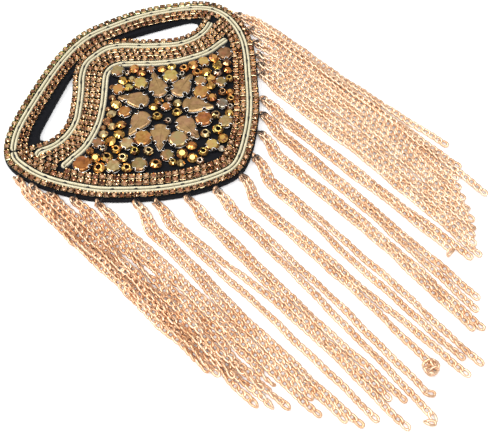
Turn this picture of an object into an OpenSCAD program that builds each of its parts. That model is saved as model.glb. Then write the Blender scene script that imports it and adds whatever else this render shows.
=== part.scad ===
// Tassel epaulette: a shield of black felt covered with braid, rows of small
// square cups and prong-set stones, with doubled lengths of fine chain sewn
// along its lower edge. It lies flat, face up. X runs across, +Y points to the
// neck edge, Z is up, and the origin is on the felt's back under the middle.

/* [Felt base] */
// Thickness of the felt
felt_t = 3; // [2:0.1:4]
// Bare felt outside the outermost row of cups
ledge = 0.4; // [0.3:0.1:1.2]

/* [Braid] */
// Width of the braid
braid_w = 3.2; // [2.8:0.1:3.4]
// Height of the braid above the felt
braid_h = 1.5; // [1:0.1:2]
// Width of the groove between the braid's two ribs
groove_w = 0.5; // [0.3:0.1:0.8]
// Depth of that groove
groove_d = 0.6; // [0.3:0.1:0.9]
// Space between the edge braid's two ends, at the left shoulder
joint_gap = 1.2; // [0.5:0.1:3]

/* [Rows of cups] */
// Width of the row of square cups outside the edge braid
row_w = 2.8; // [2.4:0.1:3]
// Width of each row of cups beside the wave braids
wave_row_w = 2.5; // [2.2:0.05:2.6]
// Height of a row of cups
row_h = 2; // [1.5:0.1:2.6]

/* [Stones] */
// Length of a drop stone, from its tip to its round end
drop_len = 15; // [12:0.5:15.5]
// Width of a drop stone
drop_w = 9.2; // [8:0.1:9.4]
// Wall of a drop stone's metal setting
setting_wall = 0.4; // [0.3:0.1:0.5]
// Height of the stones above the felt
stone_h = 3; // [2:0.1:4]

/* [Chains] */
// Width of the chain
chain_w = 2.8; // [2:0.1:2.8]
// Distance below the fold over which a strand settles beside its neighbours
knee_drop = 14; // [10:1:16]
// Length of the stretch that turns back at the end of some strands
tail = 4; // [2:0.5:6]

/* [Hidden] */
// Clearance between neighbouring pieces
gap = 0.1;
// Steps between two rows of a table when its curve is smoothed
steps = 4;
top = felt_t + gap;

// Middle line of the edge braid, anticlockwise from the left shoulder, with the
// spacing of the two rows of cups inside it
// columns: x, y, row spacing
edge_table = [
    [-67.5, 23.5, 2.9], [-67.9, 15.5, 3], [-65.5, 5, 3.1], [-60, -7, 3.2], [-52, -19.2, 3.3],
    [-42, -29.8, 3.4], [-30, -40.5, 3.4], [-18, -48.6, 3.3], [-8, -53.2, 3.2], [0, -55, 3.1],
    [8, -52.6, 3], [20, -45.2, 2.9], [32, -35.4, 2.9], [43, -23.8, 2.8], [53, -12.8, 2.7],
    [60.5, -2.4, 2.7], [64.4, 8, 2.8], [64.6, 18.5, 2.8], [60, 27.2, 2.9], [49, 36.4, 2.9],
    [35, 45, 2.9], [20, 51, 2.9], [3, 54.8, 2.8], [-16, 51.5, 2.5], [-34, 44.9, 2.3],
    [-52, 36.8, 2.3], [-62, 30.4, 2.5]
];
braid_joint = [-66.6, 25.8];
joint_angle = 140;

// Right half of the two wave braids, from the middle to the side; the two
// braids' points in a row face each other
// columns: outer x, outer y, inner x, inner y
wave_table = [
    [0, 42.8, 0, 30.6], [7, 42, 3, 30], [13.8, 37.4, 6.2, 28],
    [20.3, 30.4, 11.7, 22.6], [27.3, 23.6, 19.2, 15.4], [34.2, 18, 27.8, 9],
    [42, 14.8, 40, 3.7], [50, 14.4, 49.5, 2.8], [56.8, 16.6, 54.4, 2.5]
];

// Upper edge of the right leaf-shaped cut-out, from its inner tip
// columns: x, y
leaf_table = [
    [15.5, 43], [20, 41.2], [30, 36.6], [40, 31.8], [50, 26.6], [53, 23]
];
// Where the cut-out starts and ends along the outer wave braid, in table rows
leaf_start = 2;
leaf_end = 7.3;

// Drop stones, laid as a flower
// columns: x, y, direction of the tip in degrees
drop_table = [
    [8.4, 5.8, 62], [17.4, -3.8, 16], [13.6, -18, -55], [1, -24.4, -98],
    [-12.4, -18.6, -134], [-14.4, -5.2, 194], [-6, 7.4, 125]
];

// Round stones, one table for each part of the field; each stone is sewn on
// from the nearest one above it in the table
// columns: x, y, diameter
stones_top_table = [
    [0.6, 26.4, 5], [-1.8, 20.2, 3.6], [2.2, 17.4, 3.6], [7.6, 21.4, 3.8], [7.6, 16.4, 3.6],
    [3.2, 12.2, 6.6], [-2.7, 14.6, 3.6], [-7, 17.4, 4.6]
];
stones_left_table = [
    [-14.2, 11.4, 4], [-19.4, 8.2, 4], [-14.2, 4.8, 5], [-23.8, 6.6, 4], [-24.2, 2.6, 3.6],
    [-20.6, 0.2, 3.8], [-30.2, 2.2, 3.6], [-25, -3.2, 4], [-30.4, -3.4, 4.2], [-35.4, 0.2, 5],
    [-35.6, -4.1, 3.4], [-41.8, -5.2, 3.6], [-48.4, -3.6, 6.4], [-38, -8.8, 4.4], [-31.8, -8.6, 4],
    [-26, -10.2, 6.4], [-32.6, -14.4, 3.8], [-44, -10.8, 4.4], [-39.2, -15, 5.4], [-35.2, -20, 4.4],
    [-30, -23.2, 6.4], [-26.2, -15.6, 4], [-18.6, -13.2, 6.6], [-21.8, -20.2, 3.8]
];
stones_low_table = [
    [-24.4, -28.2, 4.4], [-17.2, -28.6, 5], [-18.2, -33.4, 3.4], [-16, -36.4, 3.4],
    [-11.4, -32.8, 4], [-9.8, -38, 4], [-8.4, -41.9, 3.4], [-5.4, -33, 4], [-7.2, -25.8, 7],
    [-3.8, -39.2, 4], [1.8, -39.8, 5.8], [3.4, -44.3, 3.2], [4.4, -32.8, 4], [8.4, -40.8, 3.8],
    [10.2, -35, 4.4], [9.8, -26, 6.6], [15.6, -28.2, 3.8], [16.2, -34.8, 5.8]
];
stones_right_table = [
    [16.8, 11, 3.8], [21.2, 9, 3.6], [16.8, 4.8, 6.8], [21.8, 2, 3.2], [25.2, 3.8, 4],
    [30, 2, 4], [35, -0.2, 4.4], [40, -2, 4], [38.6, -6.8, 3.8], [46.2, -4.2, 5.8],
    [42.4, -9.2, 3.4], [31.2, -6, 4], [27.6, -2.6, 3.8], [25.2, -8, 4.4], [30, -10.8, 3.8],
    [34.6, -10.6, 3.6], [39.2, -13, 3.4], [31.8, -15.8, 5], [36.2, -17.2, 3.6], [26.4, -14, 3.6],
    [20.4, -13.4, 6.4], [22, -19.6, 3.8], [28, -20.6, 4], [30.6, -23.4, 3.4], [27.6, -26.6, 3.4],
    [22.6, -25.8, 5], [24.2, -29.8, 3.2], [20.8, -32, 3.4]
];
stones_core_table = [
    [2, -2.2, 3.4], [-2.4, -3.2, 3.6], [-4.8, -8.4, 3.8], [3.6, -13.8, 3.8], [7.6, -9.8, 3.4],
    [6.8, -5, 3.2]
];
// The oval stone in the middle of the flower: its place, size, turn and the
// height of its upright wall
core_stone = [2, -7.6];
core_size = [5.6, 4.4];
core_turn = -20;
core_girdle = 1.4;

// Where each doubled chain is sewn on, from left to right
// columns: x, y
fold_table = [
    [-74.3, 13], [-72.3, 3.5], [-68.9, -5.6], [-63.5, -15.5], [-57, -24.9], [-44.5, -37.8],
    [-38, -43.7], [-26, -52.8], [-14, -59.3], [0, -62.9], [12, -59.3], [24, -51.8],
    [33, -44.6], [40, -38], [51, -26.2], [54.9, -22], [59.2, -16.8], [64.4, -9.9],
    [68.8, -1.8], [71.5, 10]
];

// The two strands of each chain, left strand first; a lift is a height above
// the table where a strand rides on its neighbours
// columns: knee x, knee lift, middle x, middle lift, end x, end y, end lift, turn at the end
strand_table = [
    [-77.5, 0, -77.7, 0, -78.2, -117, 0, 0],
    [-76, 2.5, -76.2, 2.5, -76.7, -122, 2.5, 0],
    [-74.6, 0, -74.8, 0, -75.2, -142, 0, 0],
    [-73.1, 2.5, -73.3, 2.5, -73.7, -127, 2.5, 0],
    [-71.7, 0, -71.9, 0, -72.2, -147, 0, 0],
    [-70.2, 2.5, -70.4, 2.5, -70.7, -139, 2.5, 0],
    [-65, 0, -65.2, 0, -67, -152, 0, 0],
    [-62.1, 0, -62.3, 0, -62.8, -141, 0, 0],
    [-59.2, 0, -59.3, 0, -59.9, -163, 0, 0],
    [-56.3, 0, -56.4, 0, -57, -156, 0, 0],
    [-50, 0, -53.2, 0, -54.1, -172, 0, 0],
    [-46.8, 0, -50.2, 0, -51.2, -178, 0, 0],
    [-41.8, 0, -42.4, 0, -45, -181, 0, 0],
    [-38.6, 0, -35.6, 0, -39, -192, 0, 0],
    [-29.6, 0, -32.6, 0, -34.8, -179, 0, 0],
    [-26.4, 0, -29.4, 0, -31, -184, 0, 0],
    [-17.8, 0, -22, 0, -28, -196, 0, -150],
    [-14.8, 0, -17, 0, -22, -188, 0, 60],
    [-6.6, 0, -7.4, 0, -11, -180, 0, 150],
    [-4, 1.4, -4.3, 0.4, -4, -196, 0, 0],
    [6.2, 0, 2.8, 0, 0, -190, 0, 0],
    [9.2, 0, 7.4, 0, 3.4, -197, 0, 0],
    [19.2, 0, 18.4, 0, 13.8, -185, 0, 0],
    [22.1, 0, 21.4, 0, 17, -188, 0, 0],
    [29.3, 0, 26.9, 0, 22, -181, 0, 0],
    [32.2, 0, 30, 0, 27, -178, 0, 0],
    [37.6, 0, 37.9, 0, 38, -154, 0, -90],
    [40.6, 0, 40.9, 0, 41, -164, 0, 0],
    [48.9, 0, 48.2, 0, 44.8, -166, 0, 0],
    [51.7, 0, 51.1, 0, 47.8, -161, 0, 0],
    [54.6, 0, 54.2, 0, 50.8, -158, 0, 0],
    [57.5, 0, 57.2, 0, 53.8, -156, 0, 0],
    [60.4, 0, 61.2, 0, 57, -153, 0, 0],
    [63.2, 0, 64.1, 0, 60.2, -148, 0, 0],
    [66, 0, 67, 0, 63.5, -143, 0, 0],
    [68.9, 0, 69.9, 0, 66.8, -138, 0, 0],
    [71.7, 0, 72.8, 0, 70, -134, 0, 0],
    [73.2, 2.5, 74.2, 2.5, 72.4, -149, 0.9, 0],
    [74.6, 0, 75.6, 0, 76.2, -131, 0, 0],
    [77.5, 0, 78.5, 0, 82, -119, 0, 0]
];

CHAINS = [for (i = [1 : len(fold_table)]) str("chain_", i < 10 ? "0" : "", i)];
DROPS = [for (i = [1 : len(drop_table)]) str("drop_stone_", i)];
SETTINGS = [for (i = [1 : len(drop_table)]) str("drop_setting_", i)];

// Distances from the edge braid's middle line, outwards to the felt's edge and
// inwards to the rows of cups
outer_row_at = braid_w / 2 + gap + row_w / 2;
felt_at = outer_row_at + row_w / 2 + ledge;
inner_rows_at = braid_w / 2 + gap;
// Distance from the outer wave braid's middle to the row on the cut-outs' side
cutout_row_at = braid_w / 2 + gap + wave_row_w / 2;
// Distance from that braid's middle to the cut-outs' lower edge
cutout_edge_at = cutout_row_at + wave_row_w / 2 + ledge;
// Share of the space between the wave braids from one row to the next
row_share = 0.236;

// Point at u along a smooth curve through the rows of P
function clamp_row(P, i) = P[min(max(i, 0), len(P) - 1)];
function blend(a, b, c, d, t) =
    (2 * b + (c - a) * t + (2 * a - 5 * b + 4 * c - d) * t * t
    + (3 * b - a - 3 * c + d) * t * t * t) / 2;
function along(P, u) =
    let (i = min(floor(u), len(P) - 2), t = u - i)
    blend(clamp_row(P, i - 1), P[i], P[i + 1], clamp_row(P, i + 2), t);
function loop_point(P, u) =
    let (n = len(P), i = floor(u), t = u - i)
    blend(P[(i + n - 1) % n], P[i % n], P[(i + 1) % n], P[(i + 2) % n], t);

function unit(v) = v / norm(v);
// Normal on the right of a direction
function right_of(v) = [v.y, -v.x] / norm(v);
function mirrored(P) = [for (i = [len(P) - 1 : -1 : 0]) [-P[i].x, P[i].y]];

// The edge braid's middle line moved inwards by a distance and by a number of
// row spacings
edge_n = len(edge_table) * steps;
edge_points = [for (i = [0 : edge_n - 1]) loop_point(edge_table, i / steps)];
function edge_point(i) = let (p = edge_points[(i + edge_n) % edge_n]) [p.x, p.y];
function edge_normal(i) = right_of(edge_point(i + 1) - edge_point(i - 1));
function inside_edge(d, rows = 0) =
    [for (i = [0 : edge_n - 1]) edge_point(i) - (d + rows * edge_points[i][2]) * edge_normal(i)];

// A wave braid's middle line, at a share of the way from the outer to the inner
// braid, from the left side to the right one, and the same line moved up by a
// distance
function wave_rows(share) =
    let (half = [for (r = wave_table) [r[0], r[1]] * (1 - share) + [r[2], r[3]] * share])
    concat(mirrored(half), [for (i = [1 : len(half) - 1]) half[i]]);
wave_last = 2 * (len(wave_table) - 1);
wave_mid = len(wave_table) - 1;
function wave_up(P, u) = -right_of(along(P, min(u + 0.05, wave_last)) - along(P, max(u - 0.05, 0)));
function wave_line(share, d, first = 0, last = wave_last) =
    let (P = wave_rows(share))
    [for (i = [first * steps : last * steps]) along(P, i / steps) + d * wave_up(P, i / steps)];

function backwards(P) = [for (i = [len(P) - 1 : -1 : 0]) P[i]];

module ring_plate(at, width, height) {
    linear_extrude(height) difference() {
        polygon(inside_edge(at - width / 2));
        polygon(inside_edge(at + width / 2));
    }
}

// A strip along a wave braid, which stops short of the rows at the edge
module wave_plate(share, at, width, height) {
    linear_extrude(height) intersection() {
        polygon(concat(
            wave_line(share, at - width / 2),
            backwards(wave_line(share, at + width / 2))
        ));
        polygon(inside_edge(inner_rows_at + gap, 2));
    }
}

// One leaf-shaped cut-out, between the row along the outer wave braid and its
// own upper edge
module leaf() {
    P = wave_rows(0);
    low = [for (u = [leaf_start : 0.2 : leaf_end + 0.01])
        along(P, wave_mid + u) + cutout_edge_at * wave_up(P, wave_mid + u)];
    high = [for (u = [0 : 0.25 : len(leaf_table) - 1]) along(leaf_table, u)];
    polygon(concat(low, backwards(high)));
}

module felt_base() {
    color([0.11, 0.12, 0.14]) linear_extrude(felt_t) difference() {
        polygon(inside_edge(-felt_at));
        leaf();
        mirror([1, 0]) leaf();
    }
}

module edge_braid() {
    color([0.87, 0.84, 0.68]) translate([0, 0, top]) difference() {
        ring_plate(0, braid_w, braid_h);
        translate([0, 0, braid_h - groove_d]) ring_plate(0, groove_w, braid_h);
        translate([braid_joint.x, braid_joint.y, braid_h / 2]) rotate(joint_angle)
            cube([4 * braid_w, joint_gap, 2 * braid_h], center = true);
    }
}

module wave_braid(share) {
    color([0.87, 0.84, 0.68]) translate([0, 0, top]) difference() {
        wave_plate(share, 0, braid_w, braid_h);
        translate([0, 0, braid_h - groove_d]) wave_plate(share, 0, groove_w, braid_h);
    }
}

module outer_wave_braid() {
    wave_braid(0);
}

module inner_wave_braid() {
    wave_braid(1);
}

module edge_row_outer() {
    color([0.69, 0.47, 0.33]) translate([0, 0, top]) ring_plate(-outer_row_at, row_w, row_h);
}

module inside_row(number) {
    color([0.69, 0.47, 0.33]) translate([0, 0, top]) linear_extrude(row_h) difference() {
        polygon(inside_edge(inner_rows_at, number - 1));
        polygon(inside_edge(inner_rows_at - gap, number));
    }
}

module edge_row_middle() {
    inside_row(1);
}

module edge_row_inner() {
    inside_row(2);
}

module cutout_row() {
    color([0.69, 0.47, 0.33]) translate([0, 0, top]) wave_plate(0, cutout_row_at, wave_row_w, row_h);
}

// The three rows between the wave braids share the width between them evenly
module wave_row(number) {
    color([0.69, 0.47, 0.33]) translate([0, 0, top])
        wave_plate(0.5 + (number - 2) * row_share, 0, wave_row_w, row_h);
}

module wave_row_1() {
    wave_row(1);
}

module wave_row_2() {
    wave_row(2);
}

module wave_row_3() {
    wave_row(3);
}

// Outline of a drop stone, its tip along +X and its middle at the origin, grown
// by a distance. The flanks leave the round end at its lean and meet the tip.
tip_half = 0.4;
round_sides = 20;
drop_c = drop_w / 2 - drop_len / 2;
drop_reach = drop_len / 2 - drop_c;
drop_lean = atan2(tip_half, drop_reach) + acos(drop_w / 2 / norm([drop_reach, tip_half]));
function drop_outline(grow) =
    let (r = drop_w / 2 + grow, turn = 360 - 2 * drop_lean)
    concat(
        [for (k = [0 : round_sides]) let (a = drop_lean + turn * k / round_sides)
            [drop_c + r * cos(a), r * sin(a)]],
        [[drop_len / 2 + grow, -tip_half - grow], [drop_len / 2 + grow, tip_half + grow]]
    );

module at_drop(i) {
    translate([drop_table[i].x, drop_table[i].y, top]) rotate(drop_table[i][2]) children();
}

// Setting: floor, height of its wall, and its claws' width, height and place
setting_base = 0.5;
setting_h = 1.7;
claw_w = 1;
claw_h = 2.2;
claw_turn = 120;
claw_down = 6.5;
// Sloped edge of the stone's upper side, and the share of its outline left flat
crown_h = 1.2;
drop_flat = 0.74;
module drop_stone(i) {
    lower = setting_base + gap;
    girdle = stone_h - crown_h;
    color([0.66, 0.53, 0.38]) at_drop(i) {
        translate([0, 0, lower]) linear_extrude(girdle - lower) polygon(drop_outline(0));
        translate([0, 0, girdle]) linear_extrude(crown_h, scale = drop_flat) polygon(drop_outline(0));
    }
}

// One claw in the setting's wall, turned about the middle of the round end and
// moved along the wall
module claw(turn, down) {
    translate([drop_c, 0, claw_h / 2]) rotate(turn)
        translate([drop_w / 2 + gap + setting_wall / 2, down, 0])
            cube([setting_wall, claw_w, claw_h], center = true);
}

// A metal cup with four claws, two beside the tip and two at the round end
module drop_setting(i) {
    color([0.82, 0.8, 0.76]) at_drop(i) {
        difference() {
            linear_extrude(setting_h) polygon(drop_outline(gap + setting_wall));
            translate([0, 0, setting_base]) linear_extrude(setting_h) polygon(drop_outline(gap));
        }
        for (side = [-1, 1]) {
            claw(side * claw_turn, 0);
            claw(side * drop_lean, -side * claw_down);
        }
    }
}

// A round stone in its setting, as one solid turned from a cup and a crown. A
// wider stone is taller; the foot and the flat on top are shares of its width.
round_low = 1.6;
round_rise = 0.18;
round_foot = 0.72;
round_flat = 0.6;
girdle_low = 0.4;
girdle_high = 0.6;
module round_stone(d) {
    h = round_low + round_rise * d;
    r = d / 2;
    rotate_extrude($fn = 24) polygon([
        [0, 0], [r * round_foot, 0], [r, h * girdle_low],
        [r, h * girdle_high], [r * round_flat, h], [0, h]
    ]);
}

// Sewing thread between stones that are sewn on one after the other
thread_w = 0.5;
thread_t = 0.25;
module thread_to(a, b) {
    d = b - a;
    translate([a.x, a.y, 0]) rotate(atan2(d.y, d.x)) translate([0, -thread_w / 2, 0])
        cube([norm(d), thread_w, thread_t]);
}

function flat(r) = [r.x, r.y];
// The row above row i whose stone is nearest
function nearest_above(table, i) =
    let (far = [for (k = [0 : i - 1]) norm(flat(table[k]) - flat(table[i]))])
    [for (k = [0 : i - 1]) if (far[k] == min(far)) k][0];

module round_stones(table) {
    color([0.76, 0.55, 0.24]) translate([0, 0, top]) {
        for (r = table) translate([r.x, r.y, 0]) round_stone(r[2]);
        for (i = [1 : len(table) - 1])
            thread_to(flat(table[nearest_above(table, i)]), flat(table[i]));
    }
}

module round_stones_top() {
    round_stones(stones_top_table);
}

module round_stones_left() {
    round_stones(stones_left_table);
}

module round_stones_low() {
    round_stones(stones_low_table);
}

module round_stones_right() {
    round_stones(stones_right_table);
}

module round_stones_core() {
    round_stones(stones_core_table);
}

function oval(size) = [for (a = [0 : 15 : 345]) [size.x / 2 * cos(a), size.y / 2 * sin(a)]];
module centre_stone() {
    color([0.8, 0.45, 0.15]) translate([core_stone.x, core_stone.y, top]) rotate(core_turn) {
        linear_extrude(core_girdle) polygon(oval(core_size));
        translate([0, 0, core_girdle])
            linear_extrude(stone_h - core_girdle, scale = round_flat) polygon(oval(core_size));
    }
}

// Chain: one tube with eight flats, which lies on the table on one of them. Each
// is doubled over where it is sewn on, the right strand over the left one.
sides = 8;
tube_r = chain_w / 2;
tube_z = tube_r * cos(180 / sides);
fold_r = tube_r + gap / 2;
tail_r = 1.2 * tube_r;
arc_step = 30;
knee_steps = 4;
strand_steps = 4;

// Point of a smooth curve between two of its points, with its slopes there
function hermite(a, b, ma, mb, h, t) =
    a * (2 * t * t * t - 3 * t * t + 1) + b * (3 * t * t - 2 * t * t * t)
    + h * (ma * (t * t * t - 2 * t * t + t) + mb * (t * t * t - t * t));
function slope(a, b) = (b - a) / (b.y - a.y);
function ease(t) = t * t * (3 - 2 * t);
// A point kept from sinking into the table
function afloat(p) = [p.x, p.y, max(p.z, tube_z)];

// The lower part of a strand, from its knee down
function strand_points(row, y) =
    let (
        p1 = [row[0], y - knee_drop, tube_z + row[1]],
        p3 = [row[4], row[5], tube_z + row[6]],
        p2 = [row[2], (p1.y + p3.y) / 2, tube_z + row[3]],
        stretch = [[p1, p2, [0, 1, 0], slope(p1, p3)], [p2, p3, slope(p1, p3), slope(p2, p3)]]
    )
    concat([p1], [for (q = stretch) for (k = [1 : strand_steps])
        afloat(hermite(q[0], q[1], q[2], q[3], q[1].y - q[0].y, k / strand_steps))]);

// The stretch above the knee: the left strand moves sideways, and the right one
// comes down around it
function left_knee(row, x, y) = [for (k = [0 : knee_steps - 1]) let (t = k / knee_steps)
    [x + (row[0] - x) * ease(t), y - knee_drop * t, tube_z + row[1] * ease(t)]];
function right_knee(row, left, x, y) =
    let (
        across = row[0] - left[0],
        up = row[1] - left[1],
        turn = atan2(across, up),
        reach = norm([across, up])
    )
    [for (k = [0 : knee_steps - 1]) let (
        t = k / knee_steps,
        p = left_knee(left, x, y)[k],
        r = 2 * fold_r * (1 - t) + reach * t
    ) p + r * [sin(turn * ease(t)), 0, cos(turn * ease(t))]];

// The end of a strand that turns back on itself by an angle, to the right if
// the angle is negative, as seen when walking down the strand
function tail_points(P, turn) = turn == 0 ? [] :
    let (
        n = len(P),
        d = unit(flat(P[n - 1] - P[n - 2])),
        left = [-d.y, d.x] * sign(turn),
        count = round(abs(turn) / arc_step),
        arc = [for (k = [1 : count]) let (a = abs(turn) * k / count)
            flat(P[n - 1]) + tail_r * (left * (1 - cos(a)) + d * sin(a))],
        out = arc[count - 1] + tail * (d * cos(turn) + left * sin(abs(turn)))
    )
    [for (p = concat(arc, [out])) [p.x, p.y, P[n - 1].z]];

function whole_strand(knee, row, y) =
    let (P = concat(knee, strand_points(row, y)))
    concat(P, tail_points(P, row[7]));

module tube(left, right, fold) {
    P = concat(backwards(left), fold, right);
    n = len(P);
    on_fold = len(left);
    past_fold = len(left) + len(fold);
    rings = [for (i = [0 : n - 1])
        let (
            d = unit(P[min(i + 1, n - 1)] - P[max(i - 1, 0)]),
            flat_across = unit([d.y, -d.x, 0]),
            across = i < on_fold ? flat_across : i < past_fold ? [1, 0, 0] : -flat_across,
            up = cross(across, d)
        )
        for (k = [0 : sides - 1])
            let (a = (k + 0.5) * 360 / sides)
            P[i] + tube_r * (cos(a) * across + sin(a) * up)];
    walls = [for (i = [0 : n - 2]) for (k = [0 : sides - 1])
        let (a = i * sides + k, b = i * sides + (k + 1) % sides)
        each [[a, b, b + sides], [a, b + sides, a + sides]]];
    first = [for (k = [sides - 1 : -1 : 0]) k];
    last = [for (k = [0 : sides - 1]) (n - 1) * sides + k];
    polyhedron(rings, concat(walls, [first, last]), convexity = 6);
}

module chain(i) {
    f = fold_table[i];
    left = strand_table[2 * i];
    right = strand_table[2 * i + 1];
    fold = [for (a = [arc_step : arc_step : 180 - arc_step])
        [f.x, f.y + fold_r * sin(a), tube_z + fold_r * (1 - cos(a))]];
    color([0.93, 0.75, 0.6]) tube(
        whole_strand(left_knee(left, f.x, f.y), left, f.y),
        whole_strand(right_knee(right, left, f.x, f.y), right, f.y),
        fold
    );
}

felt_base();
edge_braid();
outer_wave_braid();
inner_wave_braid();
edge_row_outer();
edge_row_middle();
edge_row_inner();
cutout_row();
wave_row_1();
wave_row_2();
wave_row_3();
centre_stone();
round_stones_top();
round_stones_left();
round_stones_low();
round_stones_right();
round_stones_core();
for (i = [0 : len(drop_table) - 1]) {
    drop_stone(i);
    drop_setting(i);
}
for (i = [0 : len(fold_table) - 1]) {
    chain(i);
}
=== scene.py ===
"""Tassel epaulette: felt, braid, rhinestone rows, set stones and linked chains, on a pale table."""
from math import acos, atan2, cos, degrees, hypot, pi, radians, sin, sqrt

import bpy
import numpy as np
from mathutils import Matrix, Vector, geometry


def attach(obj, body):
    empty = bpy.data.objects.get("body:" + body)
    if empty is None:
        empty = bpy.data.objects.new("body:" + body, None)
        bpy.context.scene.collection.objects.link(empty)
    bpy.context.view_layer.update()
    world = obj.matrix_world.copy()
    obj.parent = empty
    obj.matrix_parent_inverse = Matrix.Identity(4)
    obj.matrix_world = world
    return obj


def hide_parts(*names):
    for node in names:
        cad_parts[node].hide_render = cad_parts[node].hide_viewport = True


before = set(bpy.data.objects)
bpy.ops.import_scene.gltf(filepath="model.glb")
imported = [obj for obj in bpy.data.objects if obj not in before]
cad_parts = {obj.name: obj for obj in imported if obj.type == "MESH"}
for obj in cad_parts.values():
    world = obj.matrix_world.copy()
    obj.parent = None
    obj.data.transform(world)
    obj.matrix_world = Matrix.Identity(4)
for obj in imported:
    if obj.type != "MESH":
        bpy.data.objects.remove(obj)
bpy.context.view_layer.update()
MM = 0.001
rng = np.random.default_rng(7)

# Sizes in millimetres, as in the construction
BRAID_W, BRAID_H, GAP, LEDGE = 3.2, 1.5, 0.1, 0.4
FELT_T = 3.0
ROW_W, WAVE_ROW_W = 2.8, 2.5
ROW_SHARE = 0.236
TOP = FELT_T + GAP
DROP_LEN, DROP_W, STONE_H = 15.0, 9.2, 3.0
CHAIN_W, KNEE_DROP, TAIL = 2.8, 14.0, 1.4

# Middle line of the edge braid: x, y, spacing of the two rows inside it
EDGE = [
    (-67.5, 23.5, 2.9), (-67.9, 15.5, 3), (-65.5, 5, 3.1), (-60, -7, 3.2), (-52, -19.2, 3.3),
    (-42, -29.8, 3.4), (-30, -40.5, 3.4), (-18, -48.6, 3.3), (-8, -53.2, 3.2), (0, -55, 3.1),
    (8, -52.6, 3), (20, -45.2, 2.9), (32, -35.4, 2.9), (43, -23.8, 2.8), (53, -12.8, 2.7),
    (60.5, -2.4, 2.7), (64.4, 8, 2.8), (64.6, 18.5, 2.8), (60, 27.2, 2.9), (49, 36.4, 2.9),
    (35, 45, 2.9), (20, 51, 2.9), (3, 54.8, 2.8), (-16, 51.5, 2.5), (-34, 44.9, 2.3),
    (-52, 36.8, 2.3), (-62, 30.4, 2.5),
]
# Right half of the two wave braids: outer x, outer y, inner x, inner y
WAVE = [
    (0, 42.8, 0, 30.6), (7, 42, 3, 30), (13.8, 37.4, 6.2, 28), (20.3, 30.4, 11.7, 22.6),
    (27.3, 23.6, 19.2, 15.4), (34.2, 18, 27.8, 9), (42, 14.8, 40, 3.7), (50, 14.4, 49.5, 2.8),
    (56.8, 16.6, 54.4, 2.5),
]
# Upper edge of the right leaf-shaped cut-out: x, y
LEAF = [(15.5, 43), (20, 41.2), (30, 36.6), (40, 31.8), (50, 26.6), (53, 23)]
LEAF_START, LEAF_END = 2, 7.3
# Drop stones: x, y, direction of the tip in degrees
DROPS = [
    (8.4, 5.8, 62), (17.4, -3.8, 16), (13.6, -18, -55), (1, -24.4, -98),
    (-12.4, -18.6, -134), (-14.4, -5.2, 194), (-6, 7.4, 125),
]
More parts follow.
